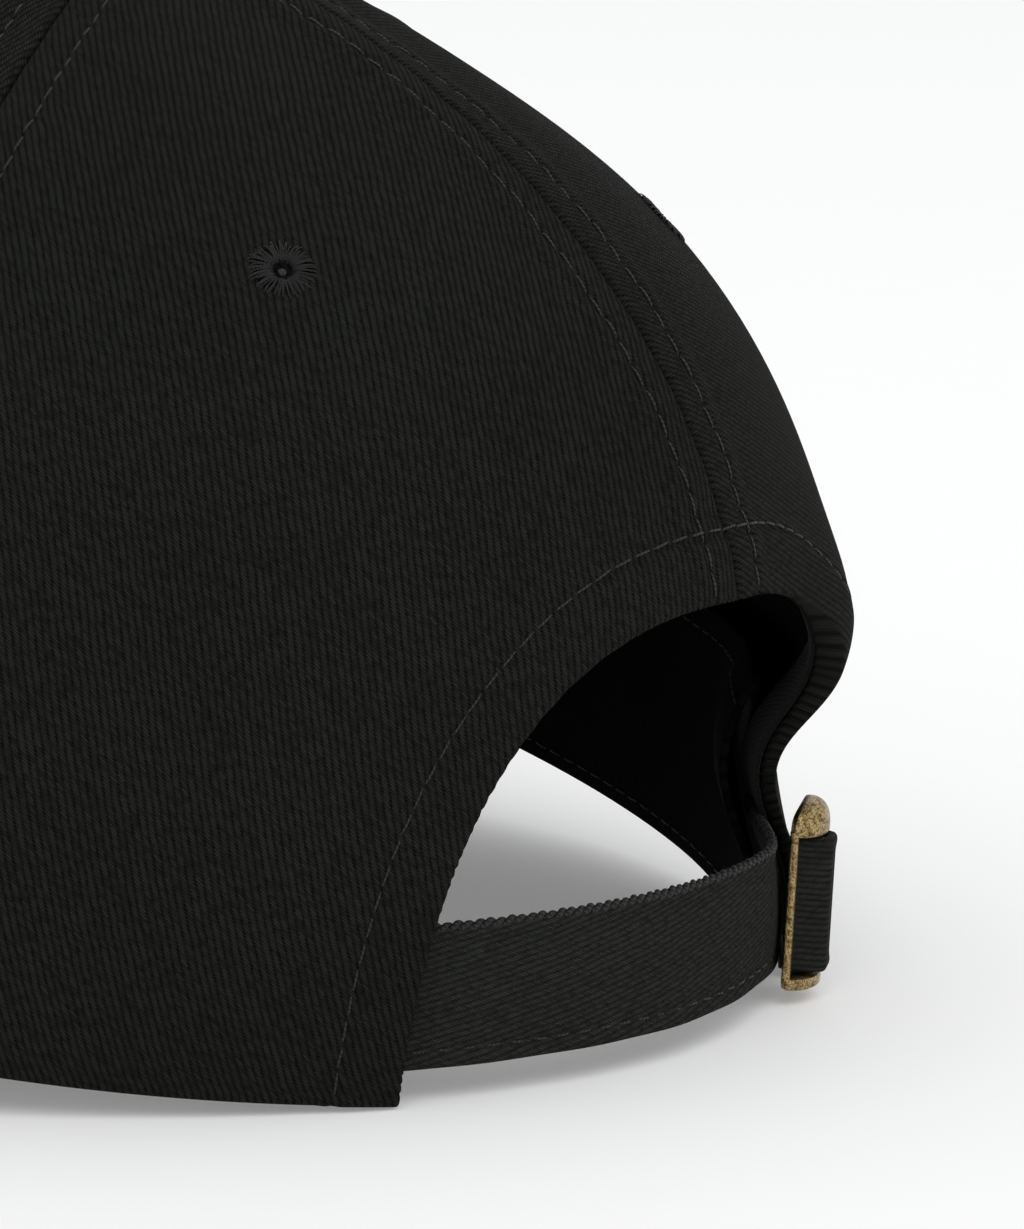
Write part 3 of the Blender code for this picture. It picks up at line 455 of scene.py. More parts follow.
def sew(name, rows, look=sewing_thread):
    """One piece from several rows of beads."""
    points = np.concatenate([row[0] for row in rows])
    cloth = np.concatenate([row[1] for row in rows])
    size = BEAD_RINGS * BEAD_SIDES
    starts = np.arange(0, len(points), size)
    faces = (bead_faces[None] + starts[:, None, None]).reshape(-1, 4)
    return make(name, points, faces, cloth, look, "embroidery_thread")


print("a stitch dives", round(1e6 * BEAD_DIVE), "micrometres at its ends")

# %% [markdown]
# ## The crown's form
# The rim in plan is a superellipse, an oval a little squarer than an ellipse, and every line from rim
# to top is a superellipse too. The powers change smoothly from back to side to front. The whole crown
# is then tipped back about its rear feet, since the visor props up its front. These are the solids'
# own formulas, so the fine surface lies exactly on the coarse one.

# %% Crown sizes
HALF_WIDTH, HALF_LENGTH, RIM_POWER, HEIGHT = 0.0854, 0.1047, 1.90, 0.1058
SHOULDER, ROUND = (3.06, 3.17, 2.80), (1.56, 1.32, 2.25)
SET_BACK, LIFT_FROM, LIFT_ANGLE, LIFT_BEND, TOP_REACH = 0.0132, 0.0942299, 0.1195, 0.40, 0.045
DENT_AT, DENT_SPREAD, DENT_DEPTH = (-0.0460, 0.0245), (0.0190, 0.0105), 0.0075
STRAP_MIDDLE, STRAP_LEAN, STRAP_WIDTH, STRAP_THICK = 0.1027, math.radians(2.0), 0.0154, 0.0014
strap_outer = 0.5 * STRAP_WIDTH * math.sin(STRAP_LEAN) + 0.5 * STRAP_THICK * math.cos(STRAP_LEAN)
SET_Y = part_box("strap")[1].y - STRAP_MIDDLE - strap_outer
print("footprint moved by", round(SET_Y, 5), "m")

# %% Rim and meridian
def rim_point(phi):
    """x = a sgn(sin) |sin|^(2/p) and y = b sgn(cos) |cos|^(2/p), phi from the centre back."""
    x = HALF_WIDTH * np.sign(np.sin(phi)) * np.abs(np.sin(phi)) ** (2.0 / RIM_POWER)
    y = HALF_LENGTH * np.sign(np.cos(phi)) * np.abs(np.cos(phi)) ** (2.0 / RIM_POWER)
    return x, y


def power_at(phi, values):
    """One value at the back, one at the sides and one at the front: e + (s - e) sin(phi)^2."""
    end = np.where(np.cos(phi) > 0.0, values[0], values[2])
    return end + (values[1] - end) * np.sin(phi) ** 2


def turn_of(phi, height):
    """The turn up a meridian at a height: h/H = sin(turn)^(2/shoulder)."""
    share = np.clip(height / HEIGHT, 0.0, 1.0)
    return np.arcsin(share ** (0.5 * power_at(phi, SHOULDER)))


def top_turn(phi):
    """The turn where the crown's reach has shrunk to that of the hole under the button."""
    return np.arccos(TOP_REACH ** (0.5 * power_at(phi, ROUND)))


print("hole under the button at", round(math.degrees(top_turn(0.0)), 1), "degrees")

# %% The crown's face
def dent(phi, height):
    """Where the strap draws in the arch's foot on one side: D exp(-((s - s0)/w)^2 - ((z - z0)/v)^2)."""
    away = (length_of(phi) - DENT_AT[0]) / DENT_SPREAD[0]
    raised = (height - DENT_AT[1]) / DENT_SPREAD[1]
    return DENT_DEPTH * np.exp(-(away**2) - raised**2)


def crown_face(phi, turn):
    """The outer face: the rim's point times cos(turn)^(2/round), raised by H sin(turn)^(2/shoulder)."""
    phi, turn = np.broadcast_arrays(phi, turn)
    height = np.sin(turn) ** (2.0 / power_at(phi, SHOULDER))
    reach = np.cos(turn) ** (2.0 / power_at(phi, ROUND))
    x, y = rim_point(phi)
    reach = reach - dent(phi, HEIGHT * height) / np.hypot(x, y)
    y = y * reach + SET_BACK * height**1.5
    z = HEIGHT * height
    ahead = LIFT_FROM - y
    low = ahead * math.sin(LIFT_ANGLE) + z * math.cos(LIFT_ANGLE)
    bend = LIFT_BEND * np.maximum(0.0, ahead) ** 2
    back_y = LIFT_FROM - ahead * math.cos(LIFT_ANGLE) + z * math.sin(LIFT_ANGLE)
    return np.stack([x * reach, back_y + SET_Y, low + bend], axis=-1)


def crown_normal(phi, turn):
    """The outward normal, from differences across a small step each way."""
    step = 1e-3
    middle = np.clip(turn, 0.02, 0.5 * math.pi - 0.02)
    around = crown_face(phi + step, middle) - crown_face(phi - step, middle)
    upward = crown_face(phi, middle + step) - crown_face(phi, middle - step)
    normal = np.cross(upward, around)
    return normal / np.linalg.norm(normal, axis=-1, keepdims=True)


# %% [markdown]
# ## Distances on the crown
# Seams, hems and puckers are laid out by distance: along the rim from the centre back, up a meridian,
# and from the edge of the back arch. Tables turn each of these into the crown's own angles.

# %% Length tables
table_phi = np.linspace(0.0, math.pi, 2001)
table_x, table_y = rim_point(table_phi)
table_length = np.concatenate([[0.0], np.cumsum(np.hypot(np.diff(table_x), np.diff(table_y)))])
HALF_RIM = table_length[-1]


def phi_of(length):
    return np.sign(length) * np.interp(np.abs(length), table_length, table_phi)


def length_of(phi):
    return np.sign(phi) * np.interp(np.abs(phi), table_phi, table_length)


meridian_share = np.linspace(0.0, 1.0, 600)
meridian = crown_face(math.radians(45.0), meridian_share * top_turn(math.radians(45.0)))
meridian_length = np.linalg.norm(np.diff(meridian, axis=0), axis=1)
meridian_length = np.concatenate([[0.0], np.cumsum(meridian_length)])
MERIDIAN = meridian_length[-1]


def share_of(up):
    """The share of a meridian's turn at a length up the cloth."""
    return np.interp(up, meridian_length, meridian_share)


def up_of(phi, turn):
    """The length up the cloth at a turn."""
    return np.interp(turn / top_turn(phi), meridian_share, meridian_length)


def reach_of(phi, turn):
    return np.cos(turn) ** (2.0 / power_at(phi, ROUND))


print("rim", round(2000 * HALF_RIM), "mm round, meridian", round(1000 * MERIDIAN), "mm")

# %% The arch's edge
ARCH_HALF, ARCH_TOP, ARCH_POWERS = 0.0394, 0.0511, (2.54, 2.80)
arch_fine = np.linspace(1e-5, math.pi - 1e-5, 4001)


def arch_curve(angle, out=0.0):
    """Length and height on the cloth: (s/w)^p + (z/h)^q = 1, moved outwards by a distance."""
    cosine = np.cos(angle)
    length = ARCH_HALF * np.sign(cosine) * np.abs(cosine) ** (2.0 / ARCH_POWERS[0])
    height = ARCH_TOP * np.sin(angle) ** (2.0 / ARCH_POWERS[1])
    slope_s, slope_z = np.gradient(length, angle), np.gradient(height, angle)
    size = np.hypot(slope_s, slope_z)
    return length + out * slope_z / size, height - out * slope_s / size


arch_s, arch_z = arch_curve(arch_fine)
arch_steps = np.concatenate([[0.0], np.cumsum(np.hypot(np.diff(arch_s), np.diff(arch_z)))])
arch_phi = phi_of(arch_s)
arch_edge = crown_face(arch_phi, turn_of(arch_phi, arch_z))
print("arch", round(1000 * arch_steps[-1]), "mm along its edge")

# %% [markdown]
# ## Relief of the cloth
# The crown is not a smooth egg. At each seam the two panels roll down into a valley, the pressed-open
# allowances under them raise a low band, and the topstitching draws that band down along a line. The
# hem round the arch does the same and flares a little at one shoulder of the arch, and sewing leaves
# short puckers across every seam. One function adds these up as a height for any point of the crown,
# so panels, stitches and eyelets all agree.

# %% Relief
SEAM_PHI = np.radians([0.0, 68.0, 121.0, 180.0, -121.0, -68.0])
TOPSTITCH, HEM_STITCH, PITCH, ARCH_NEAR = 0.0044, 0.0070, 0.0029, 0.020
EYELETS = {"rear": math.radians(37.3), "side": math.radians(94.5), "front": math.radians(148.0)}
EYELET_HEIGHT = 0.0813


def ease(value, low, high):
    """Smoothstep from 0 at low to 1 at high."""
    t = np.clip((value - low) / (high - low), 0.0, 1.0)
    return t * t * (3.0 - 2.0 * t)


def seam_distance(phi, turn):
    """Distance over the cloth to the nearest seam."""
    length, reach = length_of(phi), reach_of(phi, turn)
    gaps = [np.abs((length - length_of(seam) + HALF_RIM) % (2.0 * HALF_RIM) - HALF_RIM)
            for seam in SEAM_PHI]
    return np.min(gaps, axis=0) * reach


def arch_distance(points):
    """Distance to the arch's edge, for points no further than 20 mm from it. Others get 20 mm."""
    flat = points.reshape(-1, 3)
    found = np.full(len(flat), ARCH_NEAR)
    low, high = arch_edge.min(axis=0) - ARCH_NEAR, arch_edge.max(axis=0) + ARCH_NEAR
    near = np.flatnonzero(((flat > low) & (flat < high)).all(axis=1))
    for group in np.array_split(near, max(1, len(near) // 2000)):
        gap = np.linalg.norm(flat[group, None] - arch_edge[None, ::10], axis=2)
        found[group] = np.minimum(gap.min(axis=1), ARCH_NEAR)
    return found.reshape(points.shape[:-1])


def roll(distance, radius):
    """How far a folded edge curls in: r - sqrt(r^2 - (r - d)^2) within r of the edge."""
    inside = np.clip(radius - distance, 0.0, radius)
    return radius - np.sqrt(radius**2 - inside**2)


print("distances to", len(SEAM_PHI), "seams and to the arch")

# %% Height of the cloth
def relief(phi, turn):
    """Height of the real cloth over the crown's smooth face."""
    phi, turn = np.broadcast_arrays(phi, turn)
    up = up_of(phi, turn)
    seam = seam_distance(phi, turn)
    hem = arch_distance(crown_face(phi, turn))
    drawn = 0.72 + 0.28 * np.cos(2.0 * math.pi * up / PITCH)
    bands = 0.00038 * (1.0 - ease(seam, 0.0052, 0.0085)) - roll(seam, 0.0010)
    bands -= 0.00036 * drawn * np.exp(-(((seam - TOPSTITCH) / 0.00055) ** 2))
    bands += 0.00040 * (1.0 - ease(hem, 0.0070, 0.0090))
    bands -= 0.00034 * np.exp(-(((hem - HEM_STITCH) / 0.00055) ** 2))
    pucker = np.sin(2.0 * math.pi * up / 0.0093 + 5.0 * np.sin(3.0 * phi) + 40.0 * up**1.3)
    bands += 0.00011 * pucker * np.exp(-(((seam - TOPSTITCH) / 0.0050) ** 2))
    slack = np.sin(2.3 * phi + 61.0 * up + 1.0) * np.sin(5.1 * phi - 47.0 * up)
    slack = slack + 0.6 * np.sin(9.0 * phi + 83.0 * up + 2.2)
    flare = np.exp(-(((length_of(phi) + 0.0340) / 0.0130) ** 2) - ((up - 0.0440) / 0.0095) ** 2)
    return bands + 0.00042 * slack * ease(up, 0.004, 0.03) + 0.0019 * flare


def cloth_point(phi, turn, out=0.0):
    """A point at a height over the real cloth, and the crown's normal there."""
    normal = crown_normal(phi, turn)
    return crown_face(phi, turn) + (relief(phi, turn) + out)[..., None] * normal, normal


valley = relief(SEAM_PHI[1:2], np.array([0.3]))[0]
print("a seam lies", round(-1e6 * float(valley)), "micrometres under the smooth face")

# %% [markdown]
# ## Panels
# A panel is a gore, wide at the rim and narrow at the top. Its grid lines crowd together near its seams
# and hems, where the relief is small, and spread out between. The side and front gores are plain
# grids. A rear gore has the arch cut out of its corner, so its lines fan out from the arch's edge to
# the far seam on a flattened gore, and then each point is carried back to the crown.

# %% Crowded spacing
def crowded(count, near=0.0, far=0.0, width=0.12):
    """Shares from 0 to 1 that crowd towards either end by these strengths."""
    fine = np.linspace(0.0, 1.0, 2001)
    density = 1.0 + near * np.exp(-((fine / width) ** 2)) + far * np.exp(-(((1.0 - fine) / width) ** 2))
    total = np.concatenate([[0.0], np.cumsum(0.5 * (density[1:] + density[:-1]))])
    return np.interp(np.linspace(0.0, total[-1], count), total, fine)


def grain(phi, turn, middle, angle, offset, bow=(0.0, 0.0)):
    """Cloth coordinates in millimetres on a gore, its threads turned by an angle and bowed by
    b1 y + b2 y^2, as cloth is when it is stretched over a curved form."""
    up = up_of(phi, turn)
    across = (length_of(phi) - middle) * reach_of(phi, turn) + bow[0] * up + bow[1] * up**2
    u = 1000.0 * (across * math.cos(angle) + up * math.sin(angle)) + offset
    v = 1000.0 * (up * math.cos(angle) - across * math.sin(angle))
    return np.stack([u, v], axis=-1)


def wall_depth(edge, thickness):
    """Depths of the outer and inner face near a folded edge: a half circle of the thickness."""
    inside = np.clip(0.5 * thickness - edge, 0.0, 0.5 * thickness)
    half = np.sqrt(np.maximum((0.5 * thickness) ** 2 - inside**2, 0.0))
    return 0.5 * thickness - half, 0.5 * thickness + half


def panel(name, phi, turn, angle, offset, bow=(0.0, 0.0)):
    """One gore of cloth, folded under at the rim and at the arch."""
    raised = relief(phi, turn)
    normal = crown_normal(phi, turn)
    face = crown_face(phi, turn)
    edge = np.minimum(up_of(phi, turn), arch_distance(face))
    outer_depth, inner_depth = wall_depth(edge, 0.0012)
    outer = face + (raised - outer_depth)[..., None] * normal
    inner = face + (np.clip(raised, -0.0004, 0.0) - inner_depth)[..., None] * normal
    middle = 0.5 * (length_of(phi).min() + length_of(phi).max())
    cloth = grain(phi, turn, middle, angle, offset, bow)
    piece = shell(name + "_panel_cloth", outer, inner, cloth, panel_twill, "cotton_twill",
                  stands_for=(name + "_panel",))
    print(piece.name, len(piece.data.polygons), "faces")
    return piece


# %% Side and front panels
SIDE_EDGES = (math.radians(68.0), math.radians(121.0), math.pi)


def gore(first, last, columns, rows=190):
    """A plain grid of angles and turns on a gore, its lines crowded towards both seams."""
    length = length_of(first) + crowded(columns, 5.0, 5.0, 0.10) * (length_of(last) - length_of(first))
    up = MERIDIAN * crowded(rows, 3.0, 0.0, 0.03)
    phi = phi_of(length)[None, :] + 0.0 * up[:, None]
    return phi, share_of(up)[:, None] * top_turn(phi)


GRAIN = {"side_left": -36.0, "side_right": -94.0, "front_left": -36.0, "front_right": -94.0}
for where, first, last, columns in (("side", *SIDE_EDGES[:2], 92), ("front", *SIDE_EDGES[1:], 100)):
    phi, turn = gore(first, last, columns)
    panel(where + "_left", phi, turn, math.radians(GRAIN[where + "_left"]), 0.0)
    panel(where + "_right", -phi, turn, math.radians(GRAIN[where + "_right"]), 300.0)

# %% Rear panels, cut away for the arch
def rear_gore(along_count=210, out_count=120):
    """Lines from the arch to the top and the side seam, on the gore laid flat: x is the length along the
    rim times the reach at that height, y the length up the cloth, and P = A + f (O - A)."""
    middle = math.radians(34.0)
    reference = reach_of(middle, share_of(meridian_length) * top_turn(middle))
    side = length_of(SIDE_EDGES[0])
    half = arch_fine <= 0.5 * math.pi
    edge_up = up_of(arch_phi[half], turn_of(arch_phi[half], arch_z[half]))[::-1]
    edge_x = arch_s[half][::-1] * np.interp(edge_up, meridian_length, reference)
    edge_x[0] = 0.0
    edge_run = np.concatenate([[0.0], np.cumsum(np.hypot(np.diff(edge_x), np.diff(edge_up)))])
    far_up = np.concatenate([np.full(60, MERIDIAN), np.linspace(MERIDIAN, 0.0, 900)[1:]])
    top_x = side * np.interp(MERIDIAN, meridian_length, reference)
    far_x = np.concatenate([np.linspace(0.0, top_x, 60),
                            side * np.interp(far_up[60:], meridian_length, reference)])
    far_run = np.concatenate([[0.0], np.cumsum(np.hypot(np.diff(far_x), np.diff(far_up)))])
    step = crowded(along_count, 4.0, 2.0, 0.10)
    near_x = np.interp(step * edge_run[-1], edge_run, edge_x)
    near_up = np.interp(step * edge_run[-1], edge_run, edge_up)
    end_x = np.interp(step * far_run[-1], far_run, far_x)
    end_up = np.interp(step * far_run[-1], far_run, far_up)
    out = crowded(out_count, 9.0, 9.0, 0.10)[:, None]
    x = near_x + out * (end_x - near_x)
    up = near_up + out * (end_up - near_up)
    phi = phi_of(np.clip(x / np.interp(up, meridian_length, reference), 0.0, side))
    return phi, share_of(up) * top_turn(phi)


REAR_GRAIN = {"rear_left": -46.0, "rear_right": -94.0}
phi, turn = rear_gore()
panel("rear_left", phi, turn, math.radians(REAR_GRAIN["rear_left"]), 0.0, (-0.21, 2.35))
panel("rear_right", -phi, turn, math.radians(REAR_GRAIN["rear_right"]), 300.0)

# %% [markdown]
# ## Topstitching
# Two rows run beside each seam from the rim to the button, and one runs round the arch's hem. The same
# threads come through on the inside, on the tapes. Each row is a path on the real cloth, so it lies in
# the groove that it draws.

# %% Rows beside the seams
def seam_row(seam, side, depth, sign):
    """A row at the topstitch distance to one side of a seam: phi is the seam's plus d over the reach."""
    up = np.linspace(0.0012, MERIDIAN - 0.0035, 260)
    if abs(seam) < 0.01:
        foot = up_of(0.0, turn_of(0.0, ARCH_TOP)) + 0.0006
        up = np.linspace(foot, MERIDIAN - 0.0035, 220)
    turn = share_of(up) * top_turn(seam)
    away = np.minimum(TOPSTITCH / reach_of(seam, turn), 0.026)
    length = length_of(seam) + side * away
    phi = phi_of(np.where(length > HALF_RIM, length - 2.0 * HALF_RIM, length))
    turn = share_of(up) * top_turn(phi)
    if depth == 0.0:
        path, normal = cloth_point(phi, turn)
    else:
        normal = crown_normal(phi, turn)
        path = crown_face(phi, turn) - depth * normal
    return beads(*evenly(path, sign * normal, PITCH))


outside_rows = [seam_row(seam, side, 0.0, 1.0) for seam in SEAM_PHI for side in (-1.0, 1.0)]
sew("crown_topstitching", outside_rows)
inside_rows = [seam_row(seam, side, 0.00198, -1.0) for seam in SEAM_PHI for side in (-1.0, 1.0)]
sew("tape_stitching", inside_rows)
print("crown stitches", sum(len(row[0]) for row in outside_rows) // (BEAD_RINGS * BEAD_SIDES))

# %% Row round the arch
hem_s, hem_z = arch_curve(arch_fine, HEM_STITCH)
keep = hem_z > 0.0012
hem_phi = phi_of(hem_s[keep][::8])
hem_path, hem_normal = cloth_point(hem_phi, turn_of(hem_phi, hem_z[keep][::8]))
arch_row = beads(*evenly(hem_path, hem_normal, 0.0028))
sew("arch_stitching", [arch_row])
print("arch stitches", len(arch_row[0]) // (BEAD_RINGS * BEAD_SIDES))

# %% [markdown]
# ## Turned shapes and tubes
# The small round pieces are profiles turned about an axis, and threads and selvedges are tubes carried
# along paths. Both are worked out as grids of points. A closed end is a strip of four-sided faces laid
# across its ring, so no face has more than four corners. Every part of a piece is turned outwards on
# its own before the parts are put together.

# %% Turned shapes
def capped(ring):
    """Four-sided faces across a ring of an even number of points."""
    half = len(ring) // 2 - 1
    flip = ring[::-1]
    return np.stack([ring[:half], ring[1:half + 1], flip[1:half + 1], flip[:half]], axis=-1)


def wound(grid, cloth, looped):
    """Points, faces and cloth map of rings of points: a tube with two caps, or a closed loop."""
    rings, sides = grid.shape[:2]
    index = np.arange(rings * sides).reshape(rings, sides)
    low = index if looped else index[:-1]
    high = np.roll(index, -1, axis=0) if looped else index[1:]
    faces = np.stack([low, np.roll(low, -1, axis=1), np.roll(high, -1, axis=1), high], axis=-1)
    faces = faces.reshape(-1, 4)
    if not looped:
        faces = np.concatenate([faces, capped(index[0])[:, ::-1], capped(index[-1])])
    points = grid.reshape(-1, 3)
    if volume_of(points, faces) < 0.0:
        faces = faces[:, ::-1]
    return points, faces, cloth.reshape(-1, 2)


def together(parts):
    """Several closed parts as one set of points, faces and cloth map."""
    starts = np.cumsum([0] + [len(part[0]) for part in parts[:-1]])
    points = np.concatenate([part[0] for part in parts])
    faces = np.concatenate([part[1] + start for part, start in zip(parts, starts)])
    return points, faces, np.concatenate([part[2] for part in parts])


def lathe(profile, place, sides, looped, wave=None):
    """A profile of (radius, height) pairs turned about an axis: p = place(r cos a, r sin a, h)."""
    angle = np.linspace(0.0, 2.0 * math.pi, sides, endpoint=False)
    radius = np.array([p[0] for p in profile])[:, None] + 0.0 * angle
    height = np.array([p[1] for p in profile])[:, None] + 0.0 * angle
    if wave is not None:
        radius, height = wave(radius, height, angle)
    x, y = radius * np.cos(angle), radius * np.sin(angle)
    return wound(place(x, y, height), 1000.0 * np.stack([x, y], axis=-1), looped)


print("a ring of 8 points closes with", len(capped(np.arange(8))), "faces")

# %% Tubes
def tube(path, normal, radius, sides=6, lay=1.0):
    """A round section carried along a path: p = m + r (cos t n + sin t b), b square to path and n."""
    along = np.gradient(path, axis=0)
    length = np.concatenate([[0.0], np.cumsum(np.linalg.norm(np.diff(path, axis=0), axis=1))])
    along /= np.linalg.norm(along, axis=1, keepdims=True)
    side = np.cross(normal, along)
    side /= np.linalg.norm(side, axis=1, keepdims=True)
    rise = np.cross(along, side)
    turn = np.linspace(0.0, 2.0 * math.pi, sides, endpoint=False)
    circle = np.cos(turn)[:, None] * rise[:, None] + np.sin(turn)[:, None] * side[:, None]
    grid = path[:, None] + (radius + 0.0 * length)[:, None, None] * circle
    run = 1000.0 * length[:, None] / lay
    return wound(grid, np.stack([run + 0.0 * turn, turn / 6.2832 + 0.0 * run], axis=-1), False)


def unit(vector):
    """The vector over its own length."""
    return vector / np.linalg.norm(vector, axis=-1, keepdims=True)


print("unit of (3, 4, 0) is", unit(np.array([3.0, 4.0, 0.0])))

# %% [markdown]
# ## Eyelets
# Each panel has one embroidered air hole. A machine whips thread over the punched edge, so dozens of
# threads run from the hole outwards, crossing a little, and their ends leave a ragged rim. Each thread
# is one tube that rises and falls like a shallow arch and dives into the hole. Behind the threads lie a
# ring of cloth darker than the panel and a dark disc, which are painted shade between the threads and
# in the hole.

# %% Eyelets
THREADS, THREAD_STATIONS = 92, np.linspace(0.0, 1.0, 9)
THREAD_START, THREAD_END = 0.00085, 0.00345
THREAD_CREST, HOLE_DIVE, RIM_DIVE, DIVE_SHARE = 0.00020, 0.0011, 0.00025, 0.14
KNOT_ACROSS, KNOT_UP, KNOT_LIFT = -0.00012, -0.00036, 0.00024
KNOT = [(0.00005, -0.0008), (0.0004, -0.0006), (0.00056, -0.0003), (0.0004, -0.00005), (0.00005, 0.00004)]
# Painted shade: a ring of cloth darker than the panel under the threads, and a dark disc in the hole.
SHADE_RING = [(0.0009, -0.0002), (0.0013, 0.00002), (0.0022, 0.00003), (0.0031, 0.00001), (0.0033, -0.0004),
        (0.0033, -0.0016), (0.0026, -0.0022), (0.0012, -0.0022), (0.0009, -0.0016)]
HOLE_SHADE = [(0.00002, 0.00005), (0.0009, 0.00005), (0.0010, 0.00001), (0.00002, 0.00001)]


def whipped_thread(k, place, normal):
    """One thread, r = r0 + t (r1 - r0), at a height h sin(pi t)^0.6 that dives at both ends."""
    t = THREAD_STATIONS
    angle = 2.0 * math.pi * (k + chance.uniform(-0.35, 0.35)) / THREADS
    lean = chance.normal(0.0, 0.10)
    first, last = THREAD_START + chance.uniform(0.0, 0.0003), THREAD_END + chance.uniform(-0.00030, 0.00042)
    radius = first + t * (last - first)
    bearing = angle + lean * (t - 0.3)
    arch = np.sin(math.pi * np.clip(t * 0.93 + 0.05, 0, 1)) ** 0.6
    height = 0.00002 + (THREAD_CREST + chance.uniform(-0.00008, 0.00012)) * arch
    height = height - HOLE_DIVE * np.clip(DIVE_SHARE - t, 0.0, 1.0) / DIVE_SHARE
    height = height - RIM_DIVE * np.clip(t - (1.0 - DIVE_SHARE), 0.0, 1.0) / DIVE_SHARE
    path = place(radius * np.cos(bearing), radius * np.sin(bearing), height)
    return tube(path, np.broadcast_to(normal, path.shape), 0.000060 + 0.000012 * t)


def eyelet(name, phi):
    """The threads and the knot of one eyelet, and behind them a dark ring and disc of painted shade."""
    turn = turn_of(phi, EYELET_HEIGHT)
    centre, normal = cloth_point(np.array([phi]), np.array([turn]))
    centre, normal = centre[0], normal[0]
    upward = unit(crown_face(phi, turn + 1e-3) - crown_face(phi, turn))
    across = np.cross(upward, normal)

    def place(x, y, height):
        return centre + x[..., None] * across + y[..., None] * upward + height[..., None] * normal

    def knot_place(x, y, height):
        return place(x + KNOT_ACROSS, y + KNOT_UP, height + KNOT_LIFT)

    parts = [whipped_thread(k, place, normal) for k in range(THREADS)]
    points, faces, cloth = together(parts + [lathe(KNOT, knot_place, 8, False)])
    make(name + "_thread", points, faces, cloth, eyelet_thread, "embroidery_thread", stands_for=(name,))
    # Painted shade: the dark ring and disc behind the threads.
    behind = together([lathe(SHADE_RING, place, 32, True), lathe(HOLE_SHADE, place, 16, False)])
    make(name + "_painted_shade_backing", *behind, inner_twill_painted_shade, "embroidery_thread")
    return len(faces) + len(behind[1])


faces_made = [eyelet(where + "_" + side + "_eyelet", sign * angle)
              for where, angle in EYELETS.items() for side, sign in (("left", 1.0), ("right", -1.0))]
print("eyelets", len(faces_made), "of", faces_made[0], "faces")

# %% [markdown]
# ## Button
# The button is a pressed steel cap covered in the panels' cloth, gathered under its edge. The gathers
# are a wave round the rim that dies out towards the top, on a profile turned about the button's axis.

# %% Button
BUTTON_RADIUS, BUTTON_INSIDE, NEAR_TOP = 0.0078, 0.0070, 0.03
quarters = np.radians([0.0, 90.0, 180.0, 270.0])
apex = crown_face(0.0, 0.5 * math.pi)
apex_ring = crown_face(quarters, np.arccos(NEAR_TOP ** (0.5 * power_at(quarters, ROUND))))
apex_normal = unit(np.cross(apex_ring[1] - apex_ring[3], apex_ring[0] - apex_ring[2]))
apex_side = np.array([1.0, 0.0, 0.0])
apex_back = np.cross(apex_normal, apex_side)


def button_place(x, y, height):
    return apex + x[..., None] * apex_side + y[..., None] * apex_back + height[..., None] * apex_normal


def gathers(radius, height, angle):
    """r (1 + 0.014 e cos(17 a + 2 sin 3a)), where e grows from 0 at the middle to 1 at the edge."""
    edge = np.clip(radius / BUTTON_RADIUS, 0.0, 1.0) ** 4
    return radius * (1.0 + 0.014 * edge * np.cos(17.0 * angle + 2.0 * np.sin(3.0 * angle))), height


dome_turn = np.linspace(0.0, 0.5 * math.pi, 22)[1:]
outside = [(BUTTON_RADIUS * math.sin(a), 0.0011 + 0.0033 * math.cos(a)) for a in dome_turn]
inside = [(BUTTON_INSIDE * math.sin(a), 0.0012 + 0.0024 * math.cos(a)) for a in dome_turn[::-1]]
under = [(0.0077, 0.0006), (0.0072, 0.00035), (0.0060, 0.0003), (0.0052, 0.0004), (0.0052, 0.0010)]
profile = [(0.0001, 0.0044)] + outside + under + inside + [(0.0001, 0.0036)]
points, faces, cloth = lathe(profile, button_place, 120, True, gathers)
make("button_cloth", points, faces, cloth, panel_twill, "cotton_twill", stands_for=("button_cover",))
print("button", len(faces), "faces")

# %% [markdown]
# ## Solids that stay
# The pressed cap of the button, the disc inside, the visor's board and the buckle's pin are plain hard
# shapes that hardly show, so their own solids stay. Each only gets its finish.

# %% Finishes of the solids that stay
KEPT = {"button_shell": steel, "button_back": steel, "visor_board": board, "buckle_pin": brass}
for name, look in KEPT.items():
    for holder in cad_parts[name].material_slots:
        holder.material = look
    print(name, look.name)

# %% [markdown]
# ## Inside: tapes, facing and sweatband
# Inside, each seam is bound with flat tape, the arch's hem is backed by a strip of the same, and the
# sweatband runs round the rim, stitched near both its edges, over a strip of felt. These are thin
# strips at stated depths under the crown's face. A strip's edges are rounded like the panels' hems.

# %% Strips inside the crown
TAPE_WIDTH, TAPE_THICK, TAPE_LOW, TAPE_ROOM = 0.0130, 0.0007, 0.00124, math.radians(53.0)
FACING_NEAR, FACING_FAR, FACING_COLUMNS = 0.0004, 0.0089, 260


def lined(name, phi, turn, across, width, low, thick, cloth, look, slot, node, swell=0.0):
    """A strip between two depths: low + t/2 -/+ sqrt((t/2)^2 - (t/2 - e)^2), e the distance to its edge."""
    edge = np.minimum(across, width - across)
    near, far = wall_depth(edge, thick)
    normal, face = crown_normal(phi, turn), crown_face(phi, turn)
    outer = face - (low + near + swell)[..., None] * normal
    inner = face - (low + far + swell)[..., None] * normal
    return shell(name, outer, inner, cloth, look, slot, stands_for=(node,))


